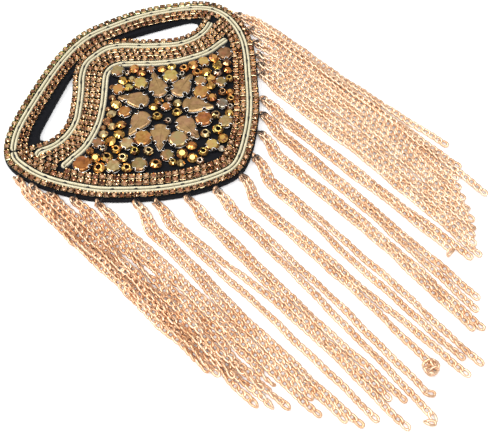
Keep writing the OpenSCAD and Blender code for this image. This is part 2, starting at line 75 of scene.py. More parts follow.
# Round stones: x, y, diameter, then the kind of stone and its colour. Kinds: P a
# stone held by prongs, F a cut bead, H a bead with its hole upwards. Colours: a amber,
# g gold, o orange, y yellow, p pale, v olive, s silver, t taupe.
STONES = {
    "top": [
        (0.6, 26.4, 5, "Pv"), (-1.8, 20.2, 3.6, "Fg"), (2.2, 17.4, 3.6, "Fp"), (7.6, 21.4, 3.8, "Fo"),
        (7.6, 16.4, 3.6, "Fo"), (3.2, 12.2, 6.6, "Py"), (-2.7, 14.6, 3.6, "Fy"), (-7, 17.4, 4.6, "Po"),
    ],
    "left": [
        (-14.2, 11.4, 4, "Fg"), (-19.4, 8.2, 4, "Fp"), (-14.2, 4.8, 5, "Po"), (-23.8, 6.6, 4, "Ft"),
        (-24.2, 2.6, 3.6, "Fp"), (-20.6, 0.2, 3.8, "Fa"), (-30.2, 2.2, 3.6, "Fp"), (-25, -3.2, 4, "Fg"),
        (-30.4, -3.4, 4.2, "Fa"), (-35.4, 0.2, 5, "Pt"), (-35.6, -4.1, 3.4, "Hs"), (-41.8, -5.2, 3.6, "Fa"),
        (-48.4, -3.6, 6.4, "Po"), (-38, -8.8, 4.4, "Hg"), (-31.8, -8.6, 4, "Ha"), (-26, -10.2, 6.4, "Pp"),
        (-32.6, -14.4, 3.8, "Hp"), (-44, -10.8, 4.4, "Ho"), (-39.2, -15, 5.4, "Pp"), (-35.2, -20, 4.4, "Hg"),
        (-30, -23.2, 6.4, "Pv"), (-26.2, -15.6, 4, "Hy"), (-18.6, -13.2, 6.6, "Pa"),
        (-21.8, -20.2, 3.8, "Hp"),
    ],
    "low": [
        (-24.4, -28.2, 4.4, "Ho"), (-17.2, -28.6, 5, "Pv"), (-18.2, -33.4, 3.4, "Hg"),
        (-16, -36.4, 3.4, "Fp"),
        (-11.4, -32.8, 4, "Fa"), (-9.8, -38, 4, "Fg"), (-8.4, -41.9, 3.4, "Hs"), (-5.4, -33, 4, "Fo"),
        (-7.2, -25.8, 7, "Pv"), (-3.8, -39.2, 4, "Hy"), (1.8, -39.8, 5.8, "Pg"), (3.4, -44.3, 3.2, "Fs"),
        (4.4, -32.8, 4, "Hp"), (8.4, -40.8, 3.8, "Fa"), (10.2, -35, 4.4, "Hy"), (9.8, -26, 6.6, "Po"),
        (15.6, -28.2, 3.8, "Hp"), (16.2, -34.8, 5.8, "Pp"),
    ],
    "right": [
        (16.8, 11, 3.8, "Fo"), (21.2, 9, 3.6, "Fy"), (16.8, 4.8, 6.8, "Py"), (21.8, 2, 3.2, "Hs"),
        (25.2, 3.8, 4, "Ho"), (30, 2, 4, "Fo"), (35, -0.2, 4.4, "Pg"), (40, -2, 4, "Fo"),
        (38.6, -6.8, 3.8, "Fy"), (46.2, -4.2, 5.8, "Pt"), (42.4, -9.2, 3.4, "Ft"), (31.2, -6, 4, "Fa"),
        (27.6, -2.6, 3.8, "Ho"), (25.2, -8, 4.4, "Pp"), (30, -10.8, 3.8, "Fa"), (34.6, -10.6, 3.6, "Hs"),
        (39.2, -13, 3.4, "Fo"), (31.8, -15.8, 5, "Pv"), (36.2, -17.2, 3.6, "Hg"), (26.4, -14, 3.6, "Fg"),
        (20.4, -13.4, 6.4, "Pa"), (22, -19.6, 3.8, "Fo"), (28, -20.6, 4, "Ht"), (30.6, -23.4, 3.4, "Fo"),
        (27.6, -26.6, 3.4, "Hg"), (22.6, -25.8, 5, "Ps"), (24.2, -29.8, 3.2, "Hs"), (20.8, -32, 3.4, "Fg"),
    ],
    "core": [
        (2, -2.2, 3.4, "Fa"), (-2.4, -3.2, 3.6, "Fg"), (-4.8, -8.4, 3.8, "Hg"), (3.6, -13.8, 3.8, "Hg"),
        (7.6, -9.8, 3.4, "Fp"), (6.8, -5, 3.2, "Hs"),
    ],
}
CORE_STONE, CORE_SIZE, CORE_TURN = (2, -7.6), (5.6, 4.4), -20
# Small stones in the gaps of the field, which are only in the picture: x, y, diameter, kind and colour
SMALL_STONES = {
    "top": [
        (-7.9, 20.9, 3.2, "Ft"), (3.4, 22.2, 3.4, "Hs"), (13, 15.2, 4.4, "Pt"), (10.8, 19.2, 2.6, "Ft"),
    ],
    "left": [
        (-12.7, 16, 3.9, "Ft"), (-18.3, 12.3, 2.8, "Ft"), (-27.4, 5.5, 3, "Ft"), (-40.8, -0.5, 4, "Fo"),
    ],
    "low": [(-2.5, -29.7, 2.6, "Hs")],
    "core": [(-2.8, -13.8, 3.8, "Hs")],
}
# Where each doubled chain is sewn on: x, y
FOLDS = [
    (-74.3, 13), (-72.3, 3.5), (-68.9, -5.6), (-63.5, -15.5), (-57, -24.9), (-44.5, -37.8),
    (-38, -43.7), (-26, -52.8), (-14, -59.3), (0, -62.9), (12, -59.3), (24, -51.8),
    (33, -44.6), (40, -38), (51, -26.2), (54.9, -22), (59.2, -16.8), (64.4, -9.9),
    (68.8, -1.8), (71.5, 10),
]
# The strands, two for each chain: knee x, lift, middle x, lift, end x, y, lift, turn
STRANDS = [
    (-77.5, 0, -77.7, 0, -78.2, -117, 0, 0), (-76, 2.5, -76.2, 2.5, -76.7, -122, 2.5, 0),
    (-74.6, 0, -74.8, 0, -75.2, -142, 0, 0), (-73.1, 2.5, -73.3, 2.5, -73.7, -127, 2.5, 0),
    (-71.7, 0, -71.9, 0, -72.2, -147, 0, 0), (-70.2, 2.5, -70.4, 2.5, -70.7, -139, 2.5, 0),
    (-65, 0, -65.2, 0, -67, -152, 0, 0), (-62.1, 0, -62.3, 0, -62.8, -141, 0, 0),
    (-59.2, 0, -59.3, 0, -59.9, -163, 0, 0), (-56.3, 0, -56.4, 0, -57, -156, 0, 0),
    (-50, 0, -53.2, 0, -54.1, -172, 0, 0), (-46.8, 0, -50.2, 0, -51.2, -178, 0, 0),
    (-41.8, 0, -42.4, 0, -45, -181, 0, 0), (-38.6, 0, -35.6, 0, -39, -192, 0, 0),
    (-29.6, 0, -32.6, 0, -34.8, -179, 0, 0), (-26.4, 0, -29.4, 0, -31, -184, 0, 0),
    (-17.8, 0, -22, 0, -28, -196, 0, -150), (-14.8, 0, -17, 0, -22, -188, 0, 60),
    (-6.6, 0, -7.4, 0, -11, -180, 0, 150), (-4, 1.4, -4.3, 0.4, -4, -196, 0, 0),
    (6.2, 0, 2.8, 0, 0, -190, 0, 0), (9.2, 0, 7.4, 0, 3.4, -197, 0, 0),
    (19.2, 0, 18.4, 0, 13.8, -185, 0, 0), (22.1, 0, 21.4, 0, 17, -188, 0, 0),
    (29.3, 0, 26.9, 0, 22, -181, 0, 0), (32.2, 0, 30, 0, 27, -178, 0, 0),
    (37.6, 0, 37.9, 0, 38, -154, 0, -90), (40.6, 0, 40.9, 0, 41, -164, 0, 0),
    (48.9, 0, 48.2, 0, 44.8, -166, 0, 0), (51.7, 0, 51.1, 0, 47.8, -161, 0, 0),
    (54.6, 0, 54.2, 0, 50.8, -158, 0, 0), (57.5, 0, 57.2, 0, 53.8, -156, 0, 0),
    (60.4, 0, 61.2, 0, 57, -153, 0, 0), (63.2, 0, 64.1, 0, 60.2, -148, 0, 0),
    (66, 0, 67, 0, 63.5, -143, 0, 0), (68.9, 0, 69.9, 0, 66.8, -138, 0, 0),
    (71.7, 0, 72.8, 0, 70, -134, 0, 0), (73.2, 2.5, 74.2, 2.5, 72.4, -149, 0.9, 0),
    (74.6, 0, 75.6, 0, 76.2, -131, 0, 0), (77.5, 0, 78.5, 0, 82, -119, 0, 0),
]

OUTER_ROW_AT = BRAID_W / 2 + GAP + ROW_W / 2
FELT_AT = OUTER_ROW_AT + ROW_W / 2 + LEDGE
INNER_ROWS_AT = BRAID_W / 2 + GAP
CUTOUT_ROW_AT = BRAID_W / 2 + GAP + WAVE_ROW_W / 2
CUTOUT_EDGE_AT = CUTOUT_ROW_AT + WAVE_ROW_W / 2 + LEDGE
WAVE_MID = len(WAVE) - 1
WAVE_LAST = 2 * WAVE_MID


# Curves

def unit(v):
    return v / np.linalg.norm(v)


def length(v):
    """The length of each row of a list of vectors."""
    return np.linalg.norm(v, axis=-1)


def nearest(points, others):
    """How far each point is from the nearest of some others, and which one that is."""
    apart = length(points[:, None] - others[None])
    return apart.min(1), apart.argmin(1)


def along(points, u, closed=False):
    """The point at u on a smooth curve through some points, where each whole number is a point."""
    n = len(points)
    i = int(np.floor(u))
    if not closed:
        i = max(0, min(i, n - 2))
    pick = [points[(i + k) % n if closed else min(max(i + k, 0), n - 1)] for k in (-1, 0, 1, 2)]
    a, b, c, d = np.array(pick, float)
    t = u - i
    return (2 * b + (c - a) * t + (2 * a - 5 * b + 4 * c - d) * t * t
            + (3 * b - a - 3 * c + d) * t ** 3) / 2


def right_of(d):
    return np.array([d[1], -d[0]]) / hypot(d[0], d[1])


def rights(directions):
    return np.stack([directions[:, 1], -directions[:, 0]], 1)


def edge_loop(distance, rows=0.0, steps=16):
    """The edge braid's middle line moved inwards, by a distance and by row spacings."""
    n = len(EDGE) * steps
    points = [along(EDGE, i / steps, True) for i in range(n)]
    out = []
    for i in range(n):
        side = right_of(points[(i + 1) % n] - points[i - 1])
        out.append(points[i][:2] - (distance + rows * points[i][2]) * side)
    return np.array(out)


def wave_rows(share):
    """Points of a line that lies a share of the way from the outer wave braid to the inner one."""
    half = [(r[0] * (1 - share) + r[2] * share, r[1] * (1 - share) + r[3] * share) for r in WAVE]
    return [(-x, y) for x, y in reversed(half)] + half[1:]


def wave_up(points, u):
    step = 0.05
    return -right_of(along(points, min(u + step, WAVE_LAST)) - along(points, max(u - step, 0)))


def wave_line(share, distance, steps=16):
    points = wave_rows(share)
    us = [i / steps for i in range(WAVE_LAST * steps + 1)]
    return np.array([along(points, u) + distance * wave_up(points, u) for u in us])


def leaf_outline(side):
    """One cut-out's outline, anticlockwise on the right side."""
    points = wave_rows(0)
    us = np.arange(LEAF_START, LEAF_END + 0.01, 0.1)
    low = [along(points, WAVE_MID + u) + CUTOUT_EDGE_AT * wave_up(points, WAVE_MID + u) for u in us]
    high = [along(LEAF, u) for u in np.arange(len(LEAF) - 1, -0.01, -0.125)]
    return np.array(low + high) * (side, 1)


def inside(point, loop):
    x, y = point
    a, b = loop, np.roll(loop, -1, 0)
    crosses = (a[:, 1] > y) != (b[:, 1] > y)
    with np.errstate(divide="ignore", invalid="ignore"):
        at = a[:, 0] + (y - a[:, 1]) * (b[:, 0] - a[:, 0]) / (b[:, 1] - a[:, 1])
    return bool((crosses & (x < at)).sum() % 2)


def spaced(line, pitch, closed=False, to_ends=False):
    """Points and directions at even steps along a line, with the step nearest to pitch."""
    line = np.asarray(line, float)
    if closed:
        line = np.vstack([line, line[:1]])
    run = np.r_[0, np.cumsum(length(np.diff(line, axis=0)))]
    count = max(1, round(run[-1] / pitch))
    first, steps = (0, count) if closed else (0, count + 1) if to_ends else (0.5, count)
    at = (np.arange(steps) + first) * run[-1] / count

    def point(s):
        return np.stack([np.interp(s, run, line[:, k]) for k in range(line.shape[1])], 1)

    look = 0.4
    d = point(np.minimum(at + look, run[-1])) - point(np.maximum(at - look, 0))
    return point(at), d / length(d)[:, None]


# Materials

def new_material(name, **values):
    """A material with these numbers on its shader's own sockets."""
    m = bpy.data.materials.new(name)
    m.use_nodes = True
    shader = m.node_tree.nodes["Principled BSDF"]
    for key, value in values.items():
        shader.inputs[key.replace("_", " ")].default_value = value
    return m, m.node_tree, shader


def node(tree, kind, inputs=None, **settings):
    n = tree.nodes.new(kind)
    for key, value in settings.items():
        setattr(n, key, value)
    for key, value in (inputs or {}).items():
        if isinstance(value, bpy.types.NodeSocket):
            tree.links.new(value, n.inputs[key])
        else:
            n.inputs[key].default_value = value
    return n


def paint(tree, shader, colour, socket="Base Color"):
    tree.links.new(colour, shader.inputs[socket])


def place(tree):
    return node(tree, "ShaderNodeTexCoord").outputs["Object"]


def noise(tree, scale, detail, rough):
    n = node(tree, "ShaderNodeTexNoise",
             {"Scale": scale, "Detail": detail, "Roughness": rough, "Vector": place(tree)})
    return n.outputs["Fac"]


def ramp(tree, factor, stops):
    """Colours for a factor. In a stop a single number stands for a grey."""
    n = node(tree, "ShaderNodeValToRGB", {"Fac": factor})
    e = n.color_ramp.elements
    while len(e) < len(stops):
        e.new(0.5)
    for item, (at, colour) in zip(e, stops):
        item.position = at
        item.color = (*np.broadcast_to(colour, 3), 1)
    return n.outputs["Color"]


def mix(tree, a, b, factor, how="MIX"):
    n = node(tree, "ShaderNodeMix", data_type="RGBA", blend_type=how)
    for key, value in (("Factor", factor), ("A", a), ("B", b)):
        socket = [s for s in n.inputs if s.name == key and s.enabled][0]
        if isinstance(value, bpy.types.NodeSocket):
            tree.links.new(value, socket)
        else:
            socket.default_value = value if key == "Factor" else (*value, 1)
    return [s for s in n.outputs if s.enabled][0]


def bump(tree, shader, height, distance, strength):
    n = node(tree, "ShaderNodeBump", {"Height": height, "Distance": distance * MM, "Strength": strength})
    paint(tree, shader, n.outputs["Normal"], "Normal")


def linear(r, g, b):
    """Linear colour from the 0 to 255 values of a screen."""
    return tuple(((v / 255 + 0.055) / 1.055) ** 2.4 if v > 10 else v / 255 / 12.92 for v in (r, g, b))


def attribute(tree, name):
    return node(tree, "ShaderNodeAttribute", attribute_name=name).outputs["Fac"]


def felt_material():
    m, t, s = new_material("felt", Roughness=0.95, Sheen_Weight=0.04, Sheen_Roughness=0.6,
                           Sheen_Tint=(0.4, 0.45, 0.55, 1), Specular_IOR_Level=0.15)
    fibres = noise(t, 2600, 4, 0.7)
    patches = noise(t, 160, 3, 0.6)
    shades = [(0.3, linear(9, 9, 12)), (0.62, linear(22, 23, 28)), (0.8, linear(48, 50, 58))]
    colour = ramp(t, fibres, shades)
    paint(t, s, mix(t, colour, linear(15, 16, 20), ramp(t, patches, [(0.35, 0), (0.7, 0.7)])))
    bump(t, s, fibres, 0.25, 0.9)
    return m


def braid_material():
    m, t, s = new_material("soutache", Roughness=0.6, Sheen_Weight=0.35, Sheen_Roughness=0.4,
                           Specular_IOR_Level=0.35)
    threads = noise(t, 1900, 3, 0.6)
    patches = noise(t, 220, 2, 0.5)
    light = ramp(t, threads, [(0.25, linear(158, 149, 118)), (0.5, linear(214, 204, 172)),
                              (0.75, linear(246, 237, 210))])
    warm = ramp(t, patches, [(0.35, linear(198, 190, 158)), (0.65, linear(224, 215, 184))])
    both = mix(t, light, warm, 0.45)
    # painted shade: the braid turns dark olive in its groove and at its feet
    groove_shade = attribute(t, "groove_shade")
    paint(t, s, mix(t, linear(48, 46, 34), both, groove_shade))
    bump(t, s, threads, 0.06, 0.8)
    return m


def metal_material(name, dark, light, rough, scale=900.0, metallic=1.0, warm_light_tint=None):
    """Plated metal, with a tone for each face; towards the neck edge it can take a golden tint, painted warm
    light.
    """
    m, t, s = new_material(name, Metallic=metallic, Roughness=rough)
    dark, light = linear(*dark), linear(*light)
    tone = attribute(t, "tone")
    worn = noise(t, scale, 3, 0.6)
    body = mix(t, dark, light, tone)
    # painted warm light: the colour turns golden towards the neck edge, where a warm light falls
    if warm_light_tint:
        up = node(t, "ShaderNodeSeparateXYZ", {"Vector": place(t)}).outputs["Y"]
        limits = {"Value": up, "From Min": WARM_LIGHT_FROM * MM, "From Max": WARM_LIGHT_TO * MM}
        share = node(t, "ShaderNodeMapRange", limits).outputs["Result"]
        body = mix(t, body, warm_light_tint, share, "MULTIPLY")
    paint(t, s, mix(t, body, tuple(0.75 * v for v in dark), ramp(t, worn, [(0.52, 0), (0.78, 0.5)])))
    paint(t, s, ramp(t, worn, [(0.3, rough * 0.8), (0.7, rough * 1.35)]), "Roughness")
    bump(t, s, worn, 0.015, 0.5)
    return m


def gem_material(name, tones, rough=0.1, metallic=0.85, blush=(214, 128, 92), patch=300, most=0.36):
    """Foiled cut glass: each facet has a painted tone of its own, painted reflection of the light the foil
    behind it throws back, and patches of the stone blush in a second hue, up to a share."""
    m, t, s = new_material(name, Metallic=metallic, Roughness=rough, Coat_Weight=0.35, Coat_Roughness=0.05)
    tone = attribute(t, "tone")
    cloud = noise(t, 420, 3, 0.6)
    wobble = node(t, "ShaderNodeMath", {0: tone, 1: cloud}, operation="ADD").outputs[0]
    inner = node(t, "ShaderNodeMath", {0: wobble, 1: 0.36}, operation="SUBTRACT").outputs[0]
    body = ramp(t, inner, [(at, linear(*shade)) for at, shade in zip((0.1, 0.45, 0.85), tones)])
    patches = ramp(t, noise(t, patch, 2, 0.5), [(0.46, 0), (0.68, most)])
    paint(t, s, mix(t, body, linear(*blush), patches))
    bump(t, s, noise(t, 2400, 2, 0.5), 0.006, 0.4)
    return m


def thread_material():
    m, t, s = new_material("black_thread", Roughness=0.6, Sheen_Weight=0.05)
    strands = noise(t, 5200, 3, 0.6)
    paint(t, s, ramp(t, strands, [(0.3, linear(8, 8, 10)), (0.7, linear(32, 32, 38))]))
    bump(t, s, strands, 0.04, 0.7)
    return m


COPPER = ((150, 99, 56), (255, 235, 188))
# The outer row is painted golden towards the neck edge, painted warm light: the tint, and the heights where
# it begins and is full
WARM_LIGHT_TINT, WARM_LIGHT_FROM, WARM_LIGHT_TO = (0.9, 1.22, 1.1), 5, 40
# Tones and blush of the drops
DROP_TONES, DROP_BLUSH = ((80, 56, 28), (144, 109, 66), (192, 156, 102)), (188, 134, 106)
# Stones by colour: the dark, middle and light tone of each; the facets' painted shade and painted
# reflections run between them
GEM_TONES = {
    "a": ((40, 20, 4), (196, 128, 48), (254, 206, 110)),
    "g": ((42, 26, 6), (200, 144, 56), (255, 218, 124)),
    "o": ((42, 18, 4), (202, 120, 50), (254, 190, 102)),
    "y": ((50, 36, 8), (206, 166, 66), (255, 230, 132)),
    "p": ((70, 50, 20), (192, 154, 86), (250, 226, 164)),
    "v": ((68, 52, 22), (156, 128, 68), (214, 190, 128)),
    "s": ((54, 48, 40), (156, 144, 118), (232, 222, 200)),
    "t": ((58, 36, 18), (148, 100, 58), (210, 164, 112)),
}
# How much darker and duller the flat stones are than beads of the same colour
FLAT_SHARE, FLAT_ROUGH, FLAT_METALLIC = 0.84, 0.16, 0.6

felt_mat = felt_material()
braid_mat = braid_material()
thread_mat = thread_material()
cup_mat = metal_material("copper_cup", *COPPER, 0.19)
# the outer row's cups, with painted warm light towards the neck edge
outer_cup_mat = metal_material("outer_copper_cup", *COPPER, 0.19, warm_light_tint=WARM_LIGHT_TINT)
claw_mat = metal_material("silver_claw", (150, 148, 146), (240, 238, 234), 0.12)
chain_mat = metal_material("rose_gold_chain", (216, 162, 118), (250, 220, 190), 0.28, 1400, 0.66)
cup_stone_mat = gem_material("cup_stone", ((52, 24, 15), (166, 110, 78), (252, 210, 166)), 0.09, 0.65)
drop_mat = gem_material("bronze_drop", DROP_TONES, 0.18, 0.55, DROP_BLUSH, 170, 0.5)
# painted shade: a dark colour for the inside of the bead holes and for the plates in the claws' openings
hole_shade_mat = metal_material("hole_shade", (24, 18, 14), (52, 38, 26), 0.5)
GEMS, FLAT_GEMS = {}, {}
for colour, tones in GEM_TONES.items():
    GEMS[colour] = gem_material("gem_" + colour, tones)
    duller = [[v * FLAT_SHARE for v in tone] for tone in tones]
    FLAT_GEMS[colour] = gem_material("flat_gem_" + colour, duller, FLAT_ROUGH, FLAT_METALLIC)


# Meshes

def around(count, radius, z=0.0, turn=0.0):
    """Points at even steps round the Z axis."""
    return [(radius * cos(a), radius * sin(a), z) for a in turn + np.arange(count) * 2 * pi / count]


class Shape:
    """A small closed shape: its points, faces, and each face's material and smoothness."""

    def __init__(self):
        self.points, self.faces, self.kinds, self.smooth = [], [], [], []

    def ring(self, points):
        start = len(self.points)
        self.points += [tuple(p) for p in points]
        return list(range(start, start + len(points)))

    def face(self, corners, kind=0, smooth=False):
        self.faces.append(tuple(corners))
        self.kinds.append(kind)
        self.smooth.append(smooth)

    def join(self, a, b, kind=0, smooth=False):
        """A band of faces between two rings of the same count."""
        n = len(a)
        for i in range(n):
            self.face((a[i], a[(i + 1) % n], b[(i + 1) % n], b[i]), kind, smooth)

    def bands(self, rings, smooth=False):
        for a, b in zip(rings, rings[1:]):
            self.join(a, b, 0, smooth)

    def body(self, rings, smooth=False):
        """Bands between rings that lie over each other, closed below and above."""
        self.face(rings[0][::-1])
        self.bands(rings, smooth)
        self.face(rings[-1])

    def thread(self, rings):
        """Smooth bands along a run of rings, closed at both ends."""
        self.bands(rings, True)
        self.face(rings[0][::-1])
        self.face(rings[-1])

    def in_slots(self, *slots):
        """The same shape with its kinds of face in these material slots."""
        self.kinds = [slots[k] for k in self.kinds]
        return self


def steepness(points, faces):
    """0 for a face that looks straight up or down, 1 for one that stands upright."""
    a, b, c = (points[[f[k] for f in faces]] for k in (0, 1, 2))
    normal = np.cross(b - a, c - a)
    return 1 - np.clip(np.abs(normal[:, 2]) / np.maximum(length(normal), 1e-9), 0, 1)


def new_object(name, data):
    o = bpy.data.objects.new(name, data)
    bpy.context.scene.collection.objects.link(o)
    return o


class Pieces:
    """Copies of shapes gathered into one object."""

    def __init__(self):
        self.points, self.faces, self.kinds, self.smooth, self.tones = np.zeros((0, 3)), [], [], [], []

    def add(self, shape, turns, places, tones=0.5, spread=0.2, rim=0.0):
        """Copies of a shape, each with a 3 by 3 turn, a place, and a tone that its faces vary about.
        Steep faces are painted darker by rim, painted shade for the dark that upright sides throw back."""
        v, turns, places = (np.asarray(values, float) for values in (shape.points, turns, places))
        k = len(places)
        for start in len(self.points) + len(v) * np.arange(k):
            self.faces += [[c + start for c in f] for f in shape.faces]
        copies = np.einsum("kij,nj->kni", turns, v) + places[:, None]
        self.points = np.vstack([self.points, copies.reshape(-1, 3)])
        self.kinds += shape.kinds * k
        self.smooth += shape.smooth * k
        # painted shade: steep faces are pushed towards the dark tone by rim
        jitter = rng.normal(0, spread, (k, len(shape.faces))) - rim * steepness(v, shape.faces)
        self.tones += np.clip(np.broadcast_to(tones, k)[:, None] + jitter, 0, 1).ravel().tolist()

    def build(self, name, materials, slot, *nodes):
        """The object, which takes the place of some nodes of the CAD part."""
        mesh = bpy.data.meshes.new(name)
        mesh.from_pydata(self.points * MM, [], self.faces)
        mesh.polygons.foreach_set("material_index", self.kinds)
        mesh.polygons.foreach_set("use_smooth", self.smooth)
        mesh.attributes.new("tone", "FLOAT", "FACE").data.foreach_set("value", self.tones)
        for m in materials:
            mesh.materials.append(m)
        piece = new_object(name, mesh)
        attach(piece, "root")
        if nodes:
            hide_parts(*nodes)
        return piece


def single(shape):
    """A shape as it stands, in an object of its own."""
    pieces = Pieces()
    pieces.add(shape, [np.eye(3)], [(0, 0, 0)], spread=0)
    return pieces


def turned(axis, angles):
    """Turns about X, Y or Z (0, 1 or 2), one for each angle."""
    i, j = (axis + 1) % 3, (axis + 2) % 3
    out = np.tile(np.eye(3), (len(angles), 1, 1))
    out[:, i, i] = out[:, j, j] = np.cos(angles)
    out[:, i, j], out[:, j, i] = -np.sin(angles), np.sin(angles)
    return out


def turn_z(angle):
    return turned(2, [radians(angle)])[0]


def upright(directions, tilt=0.0, wobble=0.0):
    """Turns that lay a shape's X along each flat direction, with small seeded tilts."""
    d = np.asarray(directions, float)
    k = len(d)
    yaw = np.arctan2(d[:, 1], d[:, 0]) + rng.normal(0, wobble, k)
    a, b = (np.clip(rng.normal(0, tilt, k), -1.5 * tilt, 1.5 * tilt) for _ in range(2))
    return turned(2, yaw) @ turned(0, a) @ turned(1, b)


def thread_tube(shape, points, r, sides=5):
    """A round thread along a list of points."""
    points = np.asarray(points, float)
    off_axis = (0.3, 0.2, 1.0)
    last = len(points) - 1
    rings = []
    for i, at in enumerate(points):
        d = unit(points[min(i + 1, last)] - points[max(i - 1, 0)])
        a = unit(np.cross(d, off_axis))
        b = np.cross(d, a)
        rings.append(shape.ring([at + x * a + y * b for x, y, _ in around(sides, r)]))
    shape.thread(rings)


# Felt

# The rim from the back up to the face: height, and how far it lies inside the outline
RIM = [(0.0, 0.35), (0.25, 0.08), (0.9, 0.0), (1.6, 0.03), (2.3, 0.0), (2.8, 0.1), (3.0, 0.4)]
# The step between the rim's points, how ragged it is, and how far it may stand out
RIM_STEP, RAGGED, RAGGED_MOST = 1.1, 0.05, 0.04
# Points of the face: their spacing, shift, distance from the rims, and lowest and highest place
FACE_STEP, FACE_SHIFT, FACE_CLEAR, FACE_RISE = 2.2, 0.5, 1.2, (-0.06, 0.05)


def felt_rim(shape, loop):
    """A soft rim round an outline: its ring on the back and its ring on the face."""
    point, d = spaced(loop, RIM_STEP, closed=True)
    out = rights(d)
    n = len(point)
    rings = []
    for z, inset in RIM:
        ragged = rng.normal(0, RAGGED, n) if 0 < z < FELT_T else np.zeros(n)
        p = point - (inset - np.minimum(ragged, RAGGED_MOST))[:, None] * out
        rings.append(shape.ring(np.c_[p, np.full(n, z)]))
    shape.bands(rings, True)
    return rings[0], rings[-1]


def felt_base():
    """The felt: soft rims around the outline and both cut-outs, a slightly uneven face and a flat back."""
    loops = [edge_loop(-FELT_AT, steps=14), leaf_outline(1)[::-1], leaf_outline(-1)]
    shape = Shape()
    rims = [felt_rim(shape, loop) for loop in loops]
    borders = [np.array([shape.points[i][:2] for i in high]) for _, high in rims]

    def on_felt(p):
        return inside(p, borders[0]) and not any(inside(p, hole) for hole in borders[1:])

    inner = []
    for x in np.arange(-74, 74, FACE_STEP):
        for y in np.arange(-64, 62, FACE_STEP):
            p = np.array([x, y]) + rng.uniform(-FACE_SHIFT, FACE_SHIFT, 2)
            if min(length(b - p).min() for b in borders) > FACE_CLEAR and on_felt(p):
                inner.append(p)
    edges, start = [], 0
    for b in borders:
        edges += [(start + i, start + (i + 1) % len(b)) for i in range(len(b))]
        start += len(b)
    flat = [Vector(p) for p in np.vstack(borders + [inner])]
    made, _, faces, origin, *_ = geometry.delaunay_2d_cdt(flat, edges, [], 0, 1e-6)
    faces = [f for f in faces if on_felt(sum((made[i] for i in f), Vector((0, 0))) / 3)]
    heights = rng.uniform(*FACE_RISE, len(flat))
    for top, z in ((True, FELT_T), (False, 0.0)):
        index = [i for rim in rims for i in rim[top]]
        index += shape.ring([(*p, z + h * top) for p, h in zip(inner, heights)])
        for f in faces:
            corners = [index[origin[i][0]] for i in f]
            a, b, c = (np.array(shape.points[i]) for i in corners)
            turn = (b[0] - a[0]) * (c[1] - a[1]) - (b[1] - a[1]) * (c[0] - a[0])
            shape.face(corners if (turn > 0) == top else corners[::-1], 0, True)
    piece = single(shape).build("felt_cloth", [felt_mat], "felt", "felt_base")
    for sign, loop in zip((1, -1, -1), loops):
        x, y = loop.T
    size = np.ptp(loops[0], axis=0)


# Braid

# The two ribs: radius, distance from the middle, height where the round part begins, and points
RIB_R, RIB_AT, RIB_FROM, RIB_POINTS = 0.66, 0.9, 0.5, 8
# How long one turn of the wrapped thread is, how it slants, and how far it stands out
WRAP, WRAP_SLANT, WRAP_RISE, WRAP_SWELL = 1.05, 0.55, 0.085, 0.03
# The braid's ends are pressed to a share of its width and height, over a short run
END_SHARE, END_RUN = 0.45, 1.5
# The black tacks: length, width, height of their arch, and the step from one to the next
TACK_L, TACK_W, TACK_RISE, TACK_PITCH = 2.0, 0.5, 0.36, 11


def rib_profile():
    """The braid's outline over both ribs, from its left foot to its right one: across, height, and the
    painted shade, darkest in the groove.
    """
    right = [(RIB_AT - RIB_R, 0.3, 0.0)]
    for a in pi * (1 - np.arange(1, RIB_POINTS - 1) / (RIB_POINTS - 1)):
        height = RIB_FROM + (BRAID_H - RIB_FROM) * sin(a)
        right.append((RIB_AT + RIB_R * cos(a), height, min(1, 0.25 + 1.2 * sin(a))))
    right.append((RIB_AT + RIB_R, 0.05, 0.3))
    return np.array([(-x, z, shade) for x, z, shade in reversed(right)] + right)


def braid(name, node_name, line, tack_start):
    """Soutache: thread-wrapped ribs on both sides of a groove, with black tacks in it."""
    step = 0.36
    point, d = spaced(line, step)
    across = rights(d)
    n = len(point)
    at = np.arange(n) * step
    profile = rib_profile()
    x, z, groove_shades = profile.T
    wrap = np.sin(2 * pi * (at[:, None] / WRAP + np.abs(x) * WRAP_SLANT))
    lift = WRAP_RISE * wrap
    lift[:, [0, -1]] = 0
    to_end = np.minimum(np.arange(n), np.arange(n)[::-1])[:, None] * step
    share = np.minimum(1, END_SHARE + to_end / END_RUN)
    sway = 0.12 * np.sin(at / 9.0) + 0.08 * np.sin(at / 3.7 + 1)
    side = x * (1 + WRAP_SWELL * wrap) * share + sway[:, None] / 2
    flat = point[:, None] + side[:, :, None] * across[:, None]
    shape = Shape()
    rings = [shape.ring(row) for row in np.dstack([flat, TOP + (z + lift) * share])]
    last = len(profile) - 1
    for a, b in zip(rings, rings[1:]):
        for k in range(last):
            shape.face((a[k], a[k + 1], b[k + 1], b[k]), 0, True)
        shape.face((a[last], a[0], b[0], b[last]))
    shape.face(rings[0])
    shape.face(rings[-1][::-1])
    piece = single(shape).build(name, [braid_mat], "braid", node_name)
    # painted shade of the groove and feet, for each point
    groove_shade = piece.data.attributes.new("groove_shade", "FLOAT", "POINT")
    groove_shade.data.foreach_set("value", np.tile(groove_shades, n).tolist())
    places, turns = [], []
    s = tack_start
    while s < at[-1] - 2:
        i = int(s / step)
        places.append((*point[i], TOP + 1.0))
        turns.append(d[i])
        s += TACK_PITCH + rng.normal(0, 0.9)
    tacks = Pieces()
    tacks.add(tack_shape(), upright(turns, 0.05, 0.25), places)
    tacks.build(name + "_tacks", [thread_mat], "braid")


